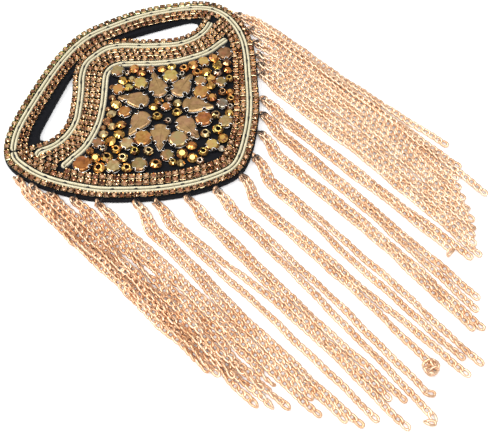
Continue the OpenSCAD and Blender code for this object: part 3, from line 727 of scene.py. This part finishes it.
def tack_shape(steps=6):
    """A short thread lying in a shallow arch along X."""
    shape = Shape()
    rings = []
    for i in range(steps + 1):
        x = (i / steps - 0.5) * TACK_L
        arch = sin(pi * i / steps)
        ring = around(6, TACK_W * (0.55 + 0.45 * arch))
        rings.append(shape.ring([(x, a, TACK_RISE * arch * 1.2 + 0.8 * b) for a, b, _ in ring]))
    shape.thread(rings)
    return shape


# Rows of square cups

# The step from one cup to the next, and the length and height of the bar between them
CUP_PITCH = 3.4
BAR_L, BAR_Z = CUP_PITCH / 2, 0.35
# Widths of the cups in the outer row, in the other edge rows and the cut-out row, and in the wave rows
OUTER_CUP, EDGE_CUP, WAVE_CUP = 2.75, 2.5, 2.55
# Outlines of a cup from its foot to the floor inside: reach and cut corner as shares, and height
CUP_LEVELS = [(0.7, 0.2, 0.0), (0.84, 0.18, 0.7), (1, 0.22, 1.4), (0.92, 0.22, 1.5), (0.88, 0.2, 1.0)]
# A corner claw from below to its tip: reach as a share, height and half width; and its thickness
CORNER_CLAW = [(1.16, 0.9, 0.2), (1.2, 1.5, 0.2), (1.02, 1.84, 0.19), (0.84, 1.76, 0.13)]
CORNER_CLAW_T = 0.22
# The girdle and the table of a cup's stone: radius as a share, and height
CUP_GIRDLE, CUP_TABLE = (0.9, 1.1), (0.504, 1.6)
# Points of the edge line, each with the rows' spacing there
EDGE_SPACING = np.array([along(EDGE, i / 4, True) for i in range(len(EDGE) * 4)])
# The share of a row's spacing that its cups fill, and the least and most growth of a cup for it
ROW_FILL, LEAST_GROWTH, MOST_GROWTH = 0.94, 0.9, 1.16
# How far a cup may reach into a braid's end, and how near two cups may be as a share of their width
INTO_BRAID, CUP_NEAR = 0.55, 0.87


def cup_shape(width):
    """A square metal cup with a thick rim and four corner claws, and a cut stone in it."""
    w = width / 2
    shape = Shape()

    def square(reach, cut, z):
        h, c = w * reach, w * (reach - cut)
        return shape.ring([(h, -c, z), (h, c, z), (c, h, z), (-c, h, z),
                           (-h, c, z), (-h, -c, z), (-c, -h, z), (c, -h, z)])

    shape.body([square(*level) for level in CUP_LEVELS])
    girdle = shape.ring(around(8, w * CUP_GIRDLE[0], CUP_GIRDLE[1], pi / 8))
    table = shape.ring(around(8, w * CUP_TABLE[0], CUP_TABLE[1]))
    for i in range(8):
        shape.face((girdle[i - 1], girdle[i], table[i]), 1)
        shape.face((girdle[i], table[(i + 1) % 8], table[i]), 1)
    shape.face(table, 1)
    for corner in ((1, 1), (-1, 1), (-1, -1), (1, -1)):
        out = np.array(corner) / sqrt(2)
        side = np.array([-out[1], out[0]])
        rings = []
        for reach, z, half in CORNER_CLAW:
            far, near, low = w * reach * out, (w * reach - CORNER_CLAW_T) * out, z - 0.02
            rings.append(shape.ring([(*(far + side * half), z), (*(far - side * half), z),
                                     (*(near - side * half), low), (*(near + side * half), low)]))
        for a, b in zip(rings, rings[1:]):
            shape.join(b, a)
        shape.face(rings[-1])
    return shape


def bar_shape():
    """The flat link between two cups, along X."""
    shape = Shape()
    a, b, c = BAR_L / 2, 0.28, 0.12
    rings = []
    for half, z in ((b, -c), (0.8 * b, c)):
        rings.append(shape.ring([(-a, -half, z), (a, -half, z), (a, half, z), (-a, half, z)]))
    shape.body(rings)
    return shape


def fenced(line, fence):
    """A line drawn on at both ends, and cut where it leaves the fence."""
    more = np.linspace(0.1, 9, 30)[:, None]
    first, last = unit(line[0] - line[3]), unit(line[-1] - line[-4])
    line = np.vstack([line[0] + (more * first)[::-1], line, line[-1] + more * last])
    return line[[inside(p, fence) for p in line]]


def cup_row(name, node_name, line, width, painted_light_shift, fence=None):
    """A row of cups round a closed line, or along an open one up to the fence. Cups that would stand
    in the braid's ends or in cups laid before are left out."""
    closed = fence is None
    outer = name == "cups_edge_outer"
    point, d = spaced(line if closed else fenced(line, fence), CUP_PITCH, closed, not closed)
    if closed:
        clear = nearest(point, BRAID_ENDS)[0] > (BRAID_W + width) / 2 - INTO_BRAID
    else:
        clear = nearest(point, np.vstack(CUPS_LAID))[0] > width * CUP_NEAR
    point, d = point[clear], d[clear]
    CUPS_LAID.append(point)
    point = point + rng.normal(0, 0.06, point.shape)
    places = np.c_[point, TOP + rng.normal(0, 0.03, len(point)).clip(-0.02, 0.08)]
    turns = upright(d, 0.05, 0.07)
    if closed and not outer:
        spacing = EDGE_SPACING[nearest(point, EDGE_SPACING[:, :2])[1], 2]
        growth = np.clip(ROW_FILL * spacing / width, LEAST_GROWTH, MOST_GROWTH)
        turns = turns * np.stack([growth, growth, np.ones(len(growth))], 1)[:, None]
    pieces = Pieces()
    # painted light and shade: each row's tones are shifted, lighter for the wave and cut-out rows near the
    # top, darker for the edge rows, and steep faces are painted darker as shade
    pieces.add(cup_shape(width), turns, places, rng.uniform(0.2, 0.8, len(point)) + painted_light_shift, 0.34, 0.35)
    ahead = np.roll(point, -1, 0)
    joined = length(ahead - point) < 1.6 * CUP_PITCH
    middle = (ahead + point)[joined] / 2
    pieces.add(bar_shape(), upright((ahead - point)[joined]),
               np.c_[middle, np.full(len(middle), TOP + BAR_Z)], spread=0.1)
    metal = outer_cup_mat if outer else cup_mat
    pieces.build(name, [metal, cup_stone_mat], "cups", node_name)


# Stones

# A drop: half the width of its tip, the sides of its round end, where that end's centre lies, how far
# the tip is from there, and the direction in which the round end meets the flank
TIP_HALF, ROUND_SIDES = 0.4, 20
DROP_C = DROP_W / 2 - DROP_LEN / 2
DROP_REACH = DROP_LEN / 2 - DROP_C
DROP_LEAN = atan2(TIP_HALF, DROP_REACH) + acos(DROP_W / 2 / hypot(DROP_REACH, TIP_HALF))
# Outlines of a drop and of its cup from below: growth over the solid's outline, and height
DROP_LEVELS = [(-0.4, 0.7), (0.22, 1.55), (0.24, 1.85), (-0.12, 2.2), (-0.6, 2.38)]
DROP_CUP_LEVELS = [(-0.4, 0.0), (0.25, 0.2), (0.42, 0.9), (0.36, 1.4), (0.1, 1.42), (0.05, 1.0),
                   (-0.1, 0.55)]
# Claws at a drop's round end and beside its tip: width, height, reach and wire
ROUND_CLAW, TIP_CLAW = (2.2, 2.0, 1.6, 0.28), (1.8, 2.0, 0.95, 0.26)
# Where the round end's claws stand, how far down the flanks those beside the tip are, and the claws'
# height and distance from the solid
ROUND_CLAW_TURN, TIP_CLAW_AT, CLAW_Z, CLAW_OUT = 118, 5.0, 0.55, 0.28
# A round stone's cup from below: radius as a share, and height as a share of the stone's
STONE_CUP_FOOT = [(0.72, 0.0), (0.9, 0.1)]
STONE_CUP_LEVELS = [(1.02, 0.3), (1.03, 0.55), (0.96, 0.56), (0.9, 0.3)]
# The round stones' growth over their solids, and how far neighbours may overlap
GROW, OVERLAP = 0.4, 0.6
# A set stone's height at no width and for each millimetre of width, and the room above it
SET_H, SET_H_SHARE, SET_ROOM = 1.6, 0.18, 0.11
# A bead's sides, its height as a share of its width, and its most height
BEAD_SIDES, BEAD_H, BEAD_MOST_H = 9, 0.62, 2.75
# Tilts: the most and least of a set stone, and that of a bead
MOST_TILT, LEAST_TILT, BEAD_TILT = 0.06, 0.004, 0.13
# The centre stone's height, its claws, and where they stand
CORE_H, CORE_CLAW, CORE_CLAW_TURNS = STONE_H - 0.2, (1.5, 2.74, 0.9, 0.22), (35, 145, 215, 325)


def claw_shape(width, height, reach, wire):
    """A wire prong bent in a U over the stone's edge towards -X, with a dark plate in it, painted shade in
    the claw's opening.
    """
    shape = Shape()
    w = width / 2
    path = [(0.1, -w, 0.1), (0.16, -w, height * 0.72), (0.04, -w * 0.98, height * 0.92),
            (-reach * 0.5, -w * 0.86, height), (-reach * 0.88, -w * 0.46, height * 1.02),
            (-reach, 0, height * 1.02)]
    path += [(x, -y, z) for x, y, z in reversed(path[:-1])]
    thread_tube(shape, path, wire, 6)
    plate, under = (shape.ring([(x * 0.95, y * 0.95, z - down) for x, y, z in path[1:-1]])
                    for down in (0.12, 0.3))
    shape.face(plate[::-1], 1)
    shape.face(under, 1)
    shape.join(plate, under, 1)
    return shape


def drop_outline(grow, sides=ROUND_SIDES):
    r, turn = DROP_W / 2 + grow, 2 * pi - 2 * DROP_LEAN
    a = DROP_LEAN + turn * np.arange(sides + 1) / sides
    ring = [(DROP_C + r * cos(v), r * sin(v)) for v in a]
    tip, half = DROP_LEN / 2 + grow, TIP_HALF + grow
    (x, y), corner = ring[-1], (tip, -half)
    flank = [((1 - k) * x + k * corner[0], (1 - k) * y + k * corner[1]) for k in (0.35, 0.7)]
    back = [(x, -y) for x, y in reversed(flank)]
    return np.array(ring + flank + [corner, (tip, half)] + back)


def drop_body(levels, smooth=False):
    """A drop's gem, cut flat with small facets round its table, or its cup."""
    shape = Shape()
    shape.body([shape.ring([(*p, z) for p in drop_outline(grow)]) for grow, z in levels], smooth)
    return shape


def drops():
    gem, cup = drop_body(DROP_LEVELS), drop_body(DROP_CUP_LEVELS, True)
    round_claw, tip_claw = claw_shape(*ROUND_CLAW), claw_shape(*TIP_CLAW)
    lean = degrees(DROP_LEAN)
    for i, (x, y, way) in enumerate(DROPS, 1):
        base = turn_z(way + rng.normal(0, 1.0))
        at = np.array([x, y, TOP])
        stone = Pieces()
        stone.add(gem, [base @ upright([(1, 0)], 0.02)[0]], [at], spread=0.1)
        stone.build("drop_gem_%d" % i, [drop_mat], "drops", "drop_stone_%d" % i)
        metal = Pieces()
        metal.add(cup, [base], [at], spread=0.15)
        for side in (-1, 1):
            for turn, down, claw in ((side * ROUND_CLAW_TURN, 0.0, round_claw),
                                     (side * lean, -side * TIP_CLAW_AT, tip_claw)):
                local = turn_z(turn)
                foot = (DROP_C, 0, 0) + local @ (DROP_W / 2 + CLAW_OUT, down, CLAW_Z)
                metal.add(claw, [base @ local], [at + base @ foot], 0.6)
        metal.build("drop_claws_%d" % i, [claw_mat, hole_shade_mat], "settings", "drop_setting_%d" % i)


def cut_stone(d, h):
    """A round stone with a flat table, eight stars and sixteen edge facets."""
    r = d / 2
    shape = Shape()
    sides = [shape.ring(around(16, k * r, z * h)) for k, z in ((0.7, 0.2), (1, 0.6), (0.99, 0.7))]
    star = shape.ring(around(8, 0.92 * r, h * 0.88, pi / 8))
    table = shape.ring(around(8, 0.82 * r, h))
    shape.face(sides[0][::-1])
    shape.bands(sides)
    upper = sides[2]
    for i in range(8):
        j = (i + 1) % 8
        shape.face((upper[2 * i], upper[2 * i + 1], star[i]))
        shape.face((upper[2 * i + 1], upper[(2 * i + 2) % 16], star[i]))
        shape.face((upper[(2 * i + 2) % 16], table[j], star[i]))
        shape.face((star[i], table[j], table[i]))
        shape.face((upper[2 * i], star[i], table[i]))
    shape.face(table)
    return shape


def stone_cup(d, h):
    shape = Shape()
    levels = STONE_CUP_FOOT + [(k, share * h) for k, share in STONE_CUP_LEVELS]
    shape.body([shape.ring(around(20, k * d / 2, z)) for k, z in levels], True)
    return shape


def bead(d, h, hole):
    """A cut bead, with its thread hole upwards if hole is set."""
    n = BEAD_SIDES
    shape = Shape()

    def ring(k, z, turn=pi / n):
        return shape.ring(around(n, k * d / 2, z * h, turn))

    def zigzag(p, q):
        for i in range(n):
            shape.face((p[i], p[(i + 1) % n], q[i]))
            shape.face((p[(i + 1) % n], q[(i + 1) % n], q[i]))

    low, waist = ring(0.6, 0.0, 0.0), ring(0.97, 0.34)
    high, top = ring(0.97, 0.62, 0.0), ring(0.62 if hole else 0.5, 0.97)
    shape.face(low[::-1])
    zigzag(low, waist)
    for i in range(n):
        shape.face((waist[i - 1], waist[i], high[i]))
        shape.face((waist[i], high[(i + 1) % n], high[i]))
    zigzag(high, top)
    # the inside of the hole takes the dark slot, painted shade
    if hole:
        lip, deep = ring(0.42, 0.99), ring(0.33, 0.4)
        shape.join(top, lip, 0, True)
        shape.join(lip, deep, 1, True)
        shape.face(deep, 1)
    else:
        shape.face(top)
    return shape


def grown_widths():
    """Each stone's width in the picture: wider than its solid, up to where it would meet its neighbours."""
    rows = [r for region in STONES.values() for r in region]
    at = np.array([r[:2] for r in rows])
    half = np.array([r[2] for r in rows]) * (1 + GROW) / 2
    apart = length(at[:, None] - at[None]) + 99 * np.eye(len(at))
    for _ in range(20):
        over = half[:, None] + half[None] - apart - OVERLAP
        for i, k in zip(*np.where(over > 0)):
            share = (apart[i, k] + OVERLAP) / (half[i] + half[k])
            if share < 1:
                half[i] *= share
                half[k] *= share
    outlines = [drop_outline(0.3, 60) @ turn_z(way)[:2, :2].T + (x, y) for x, y, way in DROPS]
    half = np.minimum(half, nearest(at, np.vstack(outlines))[0] + OVERLAP)
    return {r[:2]: 2 * h for r, h in zip(rows, half)}


def round_stones(region):
    """The stones of one part of the field in one object, with their cups and claws."""
    rows = STONES[region] + SMALL_STONES.get(region, [])
    looks = sorted({(kind == "P", colour) for _, _, _, (kind, colour) in rows})
    metal, hole = len(looks), len(looks) + 1
    pieces = Pieces()
    for x, y, d, (kind, colour) in rows:
        slot = looks.index((kind == "P", colour))
        h = SET_H + SET_H_SHARE * d
        grown = WIDTHS.get((x, y), d)
        if kind != "P":
            shape = bead(grown, min(BEAD_MOST_H, BEAD_H * grown), kind == "H").in_slots(slot, hole)
            # painted shade: the bead's steep facets are painted darker by the last number
            pieces.add(shape, upright([(1, 0)], BEAD_TILT, 3.0), [(x, y, TOP + 0.05)], 0.62, 0.36, 1.0)
            continue
        room = (STONE_H - SET_ROOM - h) / (1.35 * grown)
        turn = upright([(1, 0)], min(MOST_TILT, max(LEAST_TILT, room)), 3.0)
        at = np.array([x, y, TOP])
        # painted shade: the stone's steep facets are painted darker by the last number
        pieces.add(cut_stone(grown, h).in_slots(slot), turn, [at], 0.52, 0.16, 0.9)
        pieces.add(stone_cup(grown, h).in_slots(metal), turn, [at])
        claw = claw_shape(1.0 + 0.1 * d, (h - 0.06) / 1.02, 0.16 * d, 0.18 + 0.01 * d).in_slots(metal, hole)
        first = rng.uniform(0, 90)
        for k in range(4):
            local = turn[0] @ turn_z(first + 90 * k)
            pieces.add(claw, [local], [at + local @ (grown / 2 + 0.02, 0, 0.05)], 0.6)
    gems = [(FLAT_GEMS if flat else GEMS)[colour] for flat, colour in looks]
    pieces.build("gems_" + region, gems + [claw_mat, hole_shade_mat], "stones", "round_stones_" + region)


def centre_stone():
    size = np.array([*CORE_SIZE, 2.0]) / 2
    base, at = turn_z(CORE_TURN), np.array([*CORE_STONE, TOP])
    oval = base @ np.diag(size)
    pieces = Pieces()
    pieces.add(cut_stone(2.0, CORE_H), [oval], [at], 0.45, 0.15)
    pieces.add(stone_cup(2.0, CORE_H).in_slots(1), [oval], [at])
    claw = claw_shape(*CORE_CLAW).in_slots(1, 2)
    for turn in CORE_CLAW_TURNS:
        edge = oval @ (cos(radians(turn)), sin(radians(turn)), 0.05)
        pieces.add(claw, [base @ turn_z(turn)], [at + edge], 0.6)
    pieces.build("centre_gem", [FLAT_GEMS["o"], claw_mat, hole_shade_mat], "stones", "centre_stone")


# Chains

# The solids' tubes: height of a lying one's middle, radius of a fold, and radius of a curled end
TUBE_Z = CHAIN_W / 2 * cos(pi / 8)
FOLD_R = CHAIN_W / 2 + GAP / 2
TAIL_R = 1.2 * CHAIN_W / 2
# A link: length, width, wire and twist, and the step from one link to the next
LINK_L, LINK_W, WIRE, LINK_TWIST, PITCH = 5.8, 3.55, 1.18, 38, 3.48
# How high the lowest links lie, the share of the solids' heights above that, and the links' lowest point
LIE, PRESSED, LOWEST = 1.0, 0.72, 0.02
# The strand end that is knotted in the photo: its y, how much lower the knot lies, winding, radius and rise
KNOT_AT, KNOT_LOWER, KNOT_TURN, KNOT_R, KNOT_RISE = -180, 3.0, -470, 2.0, 4.2
# How the bundle on the left spreads to its right, and how many of its chains lie looser than the others
SPREAD_FROM, SPREAD_TO, SPREAD = -78.2, -70.0, 1.25
LOOSE_CHAINS, LOOSE = 4, 2.2
# The chains on the right, from this one on, are painted brighter, painted light that lifts the shade between
# their crowded links
PAINTED_LIGHT_FROM = 14
# Lashings: threads for each fold, the step between them, and their radius
LASHING_TURNS, LASHING_STEP, LASHING_R = 4, 0.6, 0.18


def spread(row):
    """A strand's row, with the knee, middle and end of the left bundle's strands moved apart."""
    if row[0] > SPREAD_TO:
        return row
    return [SPREAD_FROM + (v - SPREAD_FROM) * SPREAD if k in (0, 2, 4) else v for k, v in enumerate(row)]


def hermite(a, b, ma, mb, h, t):
    return (a * (2 * t ** 3 - 3 * t * t + 1) + b * (3 * t * t - 2 * t ** 3)
            + h * (ma * (t ** 3 - 2 * t * t + t) + mb * (t ** 3 - t * t)))


def ease(t):
    return t * t * (3 - 2 * t)


def strand_points(row, y, count=14):
    """A strand from its knee over its middle to its end."""
    knee_x, knee_up, middle_x, middle_up, end_x, end_y, end_up = row[:7]
    knee = np.array([knee_x, y - KNEE_DROP, TUBE_Z + knee_up])
    end = np.array([end_x, end_y, TUBE_Z + end_up])
    middle = np.array([middle_x, (knee[1] + end_y) / 2, TUBE_Z + middle_up])

    def slope(a, b):
        return (b - a) / (b[1] - a[1])

    out = [knee]
    for a, b, ma, mb in ((knee, middle, np.array([0, 1.0, 0]), slope(knee, end)),
                         (middle, end, slope(knee, end), slope(middle, end))):
        out += [hermite(a, b, ma, mb, b[1] - a[1], k / count) for k in range(1, count + 1)]
    return out


def knees(x, y, left, right, count=8):
    """Both strands' ways from the fold to their places. The right one begins above the left one."""
    across, up = right[0] - left[0], right[1] - left[1]
    turn, reach = atan2(across, up), hypot(across, up)
    below, above = [], []
    for t in np.arange(count) / count:
        p = np.array([x + (left[0] - x) * ease(t), y - KNEE_DROP * t, TUBE_Z + left[1] * ease(t)])
        r = 2 * FOLD_R * (1 - t) + reach * t
        below.append(p)
        above.append(p + r * np.array([sin(turn * ease(t)), 0, cos(turn * ease(t))]))
    return below, above


def tail_points(points, turn, knot):
    """The end of a strand that curls on the table; a knotted one winds up over itself."""
    if turn == 0:
        return []
    if knot:
        turn = KNOT_TURN * np.sign(turn)
    d = unit((points[-1] - points[-2])[:2])
    left = np.array([-d[1], d[0]]) * np.sign(turn)
    total = radians(abs(turn))
    radius, steps = (KNOT_R, 24) if knot else (TAIL_R, 8)
    arc = [points[-1][:2] + radius * (left * (1 - cos(a)) + d * sin(a))
           for a in total * np.arange(1, steps + 1) / steps]
    arc.append(arc[-1] + TAIL * (d * cos(total) + left * sin(total)))
    rise = np.linspace(0, KNOT_RISE if knot else 0, len(arc))
    return [np.array([*p, points[-1][2] + r]) for p, r in zip(arc, rise)]


def whole_strand(knee, row, y):
    knotted = row[5] == KNOT_AT
    if knotted:
        row = (*row[:5], KNOT_AT - KNOT_LOWER, *row[6:])
    points = knee + strand_points(row, y)
    return points + tail_points(points, row[7], knotted)


def chain_route(i):
    """The whole run of a doubled chain, from the left strand's end over the fold to the right one's."""
    x, y = FOLDS[i]
    both = [spread(row) for row in STRANDS[2 * i:2 * i + 2]]
    fold = [np.array([x, y + FOLD_R * sin(a), TUBE_Z + FOLD_R * (1 - cos(a))])
            for a in pi * np.arange(1, 8) / 8]
    left, right = (whole_strand(knee, row, y) for knee, row in zip(knees(x, y, *both), both))
    return np.array(left[::-1] + fold + right)


def link_shape(sides=6, steps=16):
    """One link of a curb chain: an oval of wire, twisted so that it lies flat in the chain."""
    shape = Shape()
    a_half, b_half = (LINK_L - WIRE) / 2, (LINK_W - WIRE) / 2
    middle = []
    for c, s, _ in around(steps, 1):
        x, y = a_half * np.sign(c) * abs(c) ** 0.85, b_half * np.sign(s) * abs(s) ** 0.8
        angle = radians(LINK_TWIST) * x / a_half
        middle.append(np.array([x, y * cos(angle), y * sin(angle)]))
    rings = []
    for k, at in enumerate(middle):
        d = unit(middle[(k + 1) % steps] - middle[k - 1])
        outward = unit(at - d * (at @ d))
        up = np.cross(d, outward)
        rings.append(shape.ring([at + a * outward + b * up for a, b, _ in around(sides, WIRE / 2)]))
    shape.bands(rings + rings[:1], True)
    return shape


def level_sides(directions):
    """A sideways direction for each step of a route, level wherever the route isn't upright."""
    out = []
    first = directions[0]
    side = np.array([first[1], -first[0], 0.0])
    if side[0] < 0:
        side = -side
    for d in directions:
        side = side - d * (side @ d)
        level = np.array([d[1], -d[0], 0.0])
        if np.linalg.norm(level) > 0.3:
            side = level if level @ side > 0 else -level
        side = unit(side)
        out.append(side)
    return np.array(out)


def chain(i, link):
    """A doubled chain, its links laid along its route with a little sway and roll."""
    route = chain_route(i)
    route[:, 2] = LIE + (route[:, 2] - TUBE_Z) * PRESSED
    run = np.r_[0, np.cumsum(length(np.diff(route, axis=0)))]
    phase = rng.uniform(0, 6.28, 4)
    loose = LOOSE if i < LOOSE_CHAINS else 1.0
    sway = loose * (0.22 * np.sin(run / 7.5 + phase[0]) + 0.16 * np.sin(run / 3.1 + phase[1]))
    route[:, 0] += sway * np.clip(np.abs(run - run[len(route) // 2]) / 20, 0, 1)
    point, d = spaced(route, PITCH)
    n = len(point)
    across = level_sides(d)
    up = np.cross(d, across)
    s = np.arange(n) * PITCH
    roll = 0.3 * np.sin(s / 11 + phase[2]) + 0.2 * np.sin(s / 4.3 + phase[3]) + rng.normal(0, 0.12, n)
    c, q = np.cos(loose * roll)[:, None], np.sin(loose * roll)[:, None]
    turns = np.stack([d, across * c + up * q, up * c - across * q], 2)
    # painted light and shade: the loose chains on the left are painted darker, as the shade of their tangle,
    # and those on the right brighter
    painted_light_shift = -0.1 if i < LOOSE_CHAINS else 0.2 if i >= PAINTED_LIGHT_FROM else 0.0
    pieces = Pieces()
    pieces.add(link, turns, point, rng.uniform(0.2, 0.9, n) + painted_light_shift, 0.12)
    pieces.points[:, 2] = np.maximum(pieces.points[:, 2], LOWEST)
    pieces.build("chain_links_%02d" % (i + 1), [chain_mat], "chain", "chain_%02d" % (i + 1))


def lashings():
    """Black thread that holds each fold to the felt's edge."""
    shape = Shape()
    outline = edge_loop(-FELT_AT, steps=6)
    for x, y in FOLDS:
        near_x, near_y = outline[np.argmin(length(outline - (x, y)))]
        for k in range(LASHING_TURNS):
            off = (k - (LASHING_TURNS - 1) / 2) * LASHING_STEP + rng.normal(0, 0.12)
            low_y = y - rng.uniform(0.3, 1.6)
            start = np.array([near_x + off, near_y + rng.uniform(0.1, 0.5), 2.6])
            over = np.array([x + off * 1.2, y + 0.4, 4.1])
            land = np.array([x + off * 1.3 + rng.normal(0, 0.3), low_y, 4.0])
            under = np.array([x + off * 1.1, low_y - 0.2, 1.2])
            bend = [start, start + (0, -0.2, 0.9), over, (over + land) / 2 + (0, 0, 0.12), land,
                    (land + under) / 2 + (0, -0.3, 0), under]
            thread_tube(shape, bend, LASHING_R)
    single(shape).build("fold_lashings", [thread_mat], "felt")


# The object

# Where the edge braid's ends meet, and where the left ends of the outer and inner wave braid lie
JOINT, WAVE_LEFT_ENDS = (-66.6, 25.8), ((-60.2, 15.8), (-54.9, 1.3))


def drawn_out(line, target):
    """A line with a smooth curve added from its last point to a target."""
    d = unit(line[-1] - line[-4])
    bend = line[-1] + d * np.linalg.norm(target - line[-1]) / 2
    t = np.linspace(0, 1, 12)[1:, None]
    return np.vstack([line, (1 - t) ** 2 * line[-1] + 2 * t * (1 - t) * bend + t * t * target])


felt_base()
edge_line = edge_loop(0)
joint_at = int(np.argmin(length(edge_line - JOINT)))
braid("edge_soutache", "edge_braid", np.roll(edge_line, -joint_at, axis=0), 3.0)
wave_lines = [drawn_out(wave_line(share, 0)[::-1], np.array(left_end))[::-1]
              for share, left_end in enumerate(WAVE_LEFT_ENDS)]
BRAID_ENDS = np.vstack([part for line in wave_lines for part in (line[:14], line[-14:])])
for name, line, tack_start in (("outer", wave_lines[0], 4.0), ("inner", wave_lines[1], 7.0)):
    braid(name + "_wave_soutache", name + "_wave_braid", line, tack_start)

CUPS_LAID = []
fence = edge_loop(INNER_ROWS_AT - 1.7, 2, 4)
cup_row("cups_edge_outer", "edge_row_outer", edge_loop(-OUTER_ROW_AT), OUTER_CUP, -0.04)
cup_row("cups_edge_middle", "edge_row_middle", edge_loop(INNER_ROWS_AT, 0.5), EDGE_CUP, -0.06)
cup_row("cups_edge_inner", "edge_row_inner", edge_loop(INNER_ROWS_AT, 1.5), EDGE_CUP, -0.06)
cup_row("cups_cut_out", "cutout_row", wave_line(0, CUTOUT_ROW_AT), EDGE_CUP, 0.1, fence)
for number in (1, 2, 3):
    line = wave_line(0.5 + (number - 2) * ROW_SHARE, 0)
    cup_row("cups_wave_%d" % number, "wave_row_%d" % number, line, WAVE_CUP, 0.15, fence)

drops()
WIDTHS = grown_widths()
for region in STONES:
    round_stones(region)
centre_stone()
link = link_shape()
for i in range(len(FOLDS)):
    chain(i, link)
lashings()


# Table, light and camera, in metres

TABLE_HALF, TABLE_Z = 6.0, -0.0002
LIT_POINT = (0.0, -0.07, 0.0)
CAMERA_AT, CAMERA_AIM = (-0.1542, -0.2121, 0.3386), (-0.0138, -0.076, 0.0)
# The photo's view: its focal length and width in pixels, and the width of the sensor in millimetres
FOCAL_PX, PHOTO_W_PX, SENSOR_W = 850, 488, 36


def aim(o, target):
    o.rotation_euler = (Vector(target) - o.location).to_track_quat("-Z", "Y").to_euler()


def softbox(name, place_at, size, power, colour=(1, 1, 1)):
    light = bpy.data.lights.new(name, "AREA")
    light.shape, light.size, light.size_y = "RECTANGLE", size, size
    light.energy, light.color = power, colour
    o = new_object(name, light)
    o.location = place_at
    aim(o, LIT_POINT)


floor_mesh = bpy.data.meshes.new("table")
corners = [(x * TABLE_HALF, y * TABLE_HALF, TABLE_Z) for x, y in ((-1, -1), (1, -1), (1, 1), (-1, 1))]
floor_mesh.from_pydata(corners, [], [(0, 1, 2, 3)])
floor = new_object("table", floor_mesh)
table_mat, tree, shader = new_material("table", Roughness=0.85, Specular_IOR_Level=0.2)
whites = [(0.3, (0.94, 0.945, 0.955)), (0.7, (0.955, 0.96, 0.97))]
paint(tree, shader, ramp(tree, noise(tree, 3, 2, 0.5), whites))
floor_mesh.materials.append(table_mat)

world = bpy.data.worlds.new("studio")
bpy.context.scene.world = world
world.use_nodes = True
tree = world.node_tree
back = tree.nodes["Background"]
direction = node(tree, "ShaderNodeTexCoord").outputs["Generated"]
height = node(tree, "ShaderNodeSeparateXYZ", {0: direction}).outputs["Z"]
greys = [(0.0, (0.35, 0.36, 0.38)), (0.25, (0.28, 0.28, 0.3)), (0.6, (0.8, 0.8, 0.82)), (1.0, 1)]
paint(tree, back, ramp(tree, height, greys), "Color")
back.inputs["Strength"].default_value = 0.6

softbox("key", (-0.5, 0.55, 0.9), 0.5, 7.4, (1.0, 0.97, 0.9))
softbox("front", (-0.35, -0.5, 0.85), 0.5, 5)
softbox("over", (0.0, -0.1, 1.2), 0.9, 5.4)

camera_data = bpy.data.cameras.new("camera")
camera_data.sensor_width = SENSOR_W
camera_data.lens = FOCAL_PX / PHOTO_W_PX * SENSOR_W
camera_data.clip_start = 0.01
camera = new_object("camera", camera_data)
camera.location = CAMERA_AT
aim(camera, CAMERA_AIM)
bpy.context.scene.camera = camera
bpy.context.scene.view_settings.view_transform = "Standard"
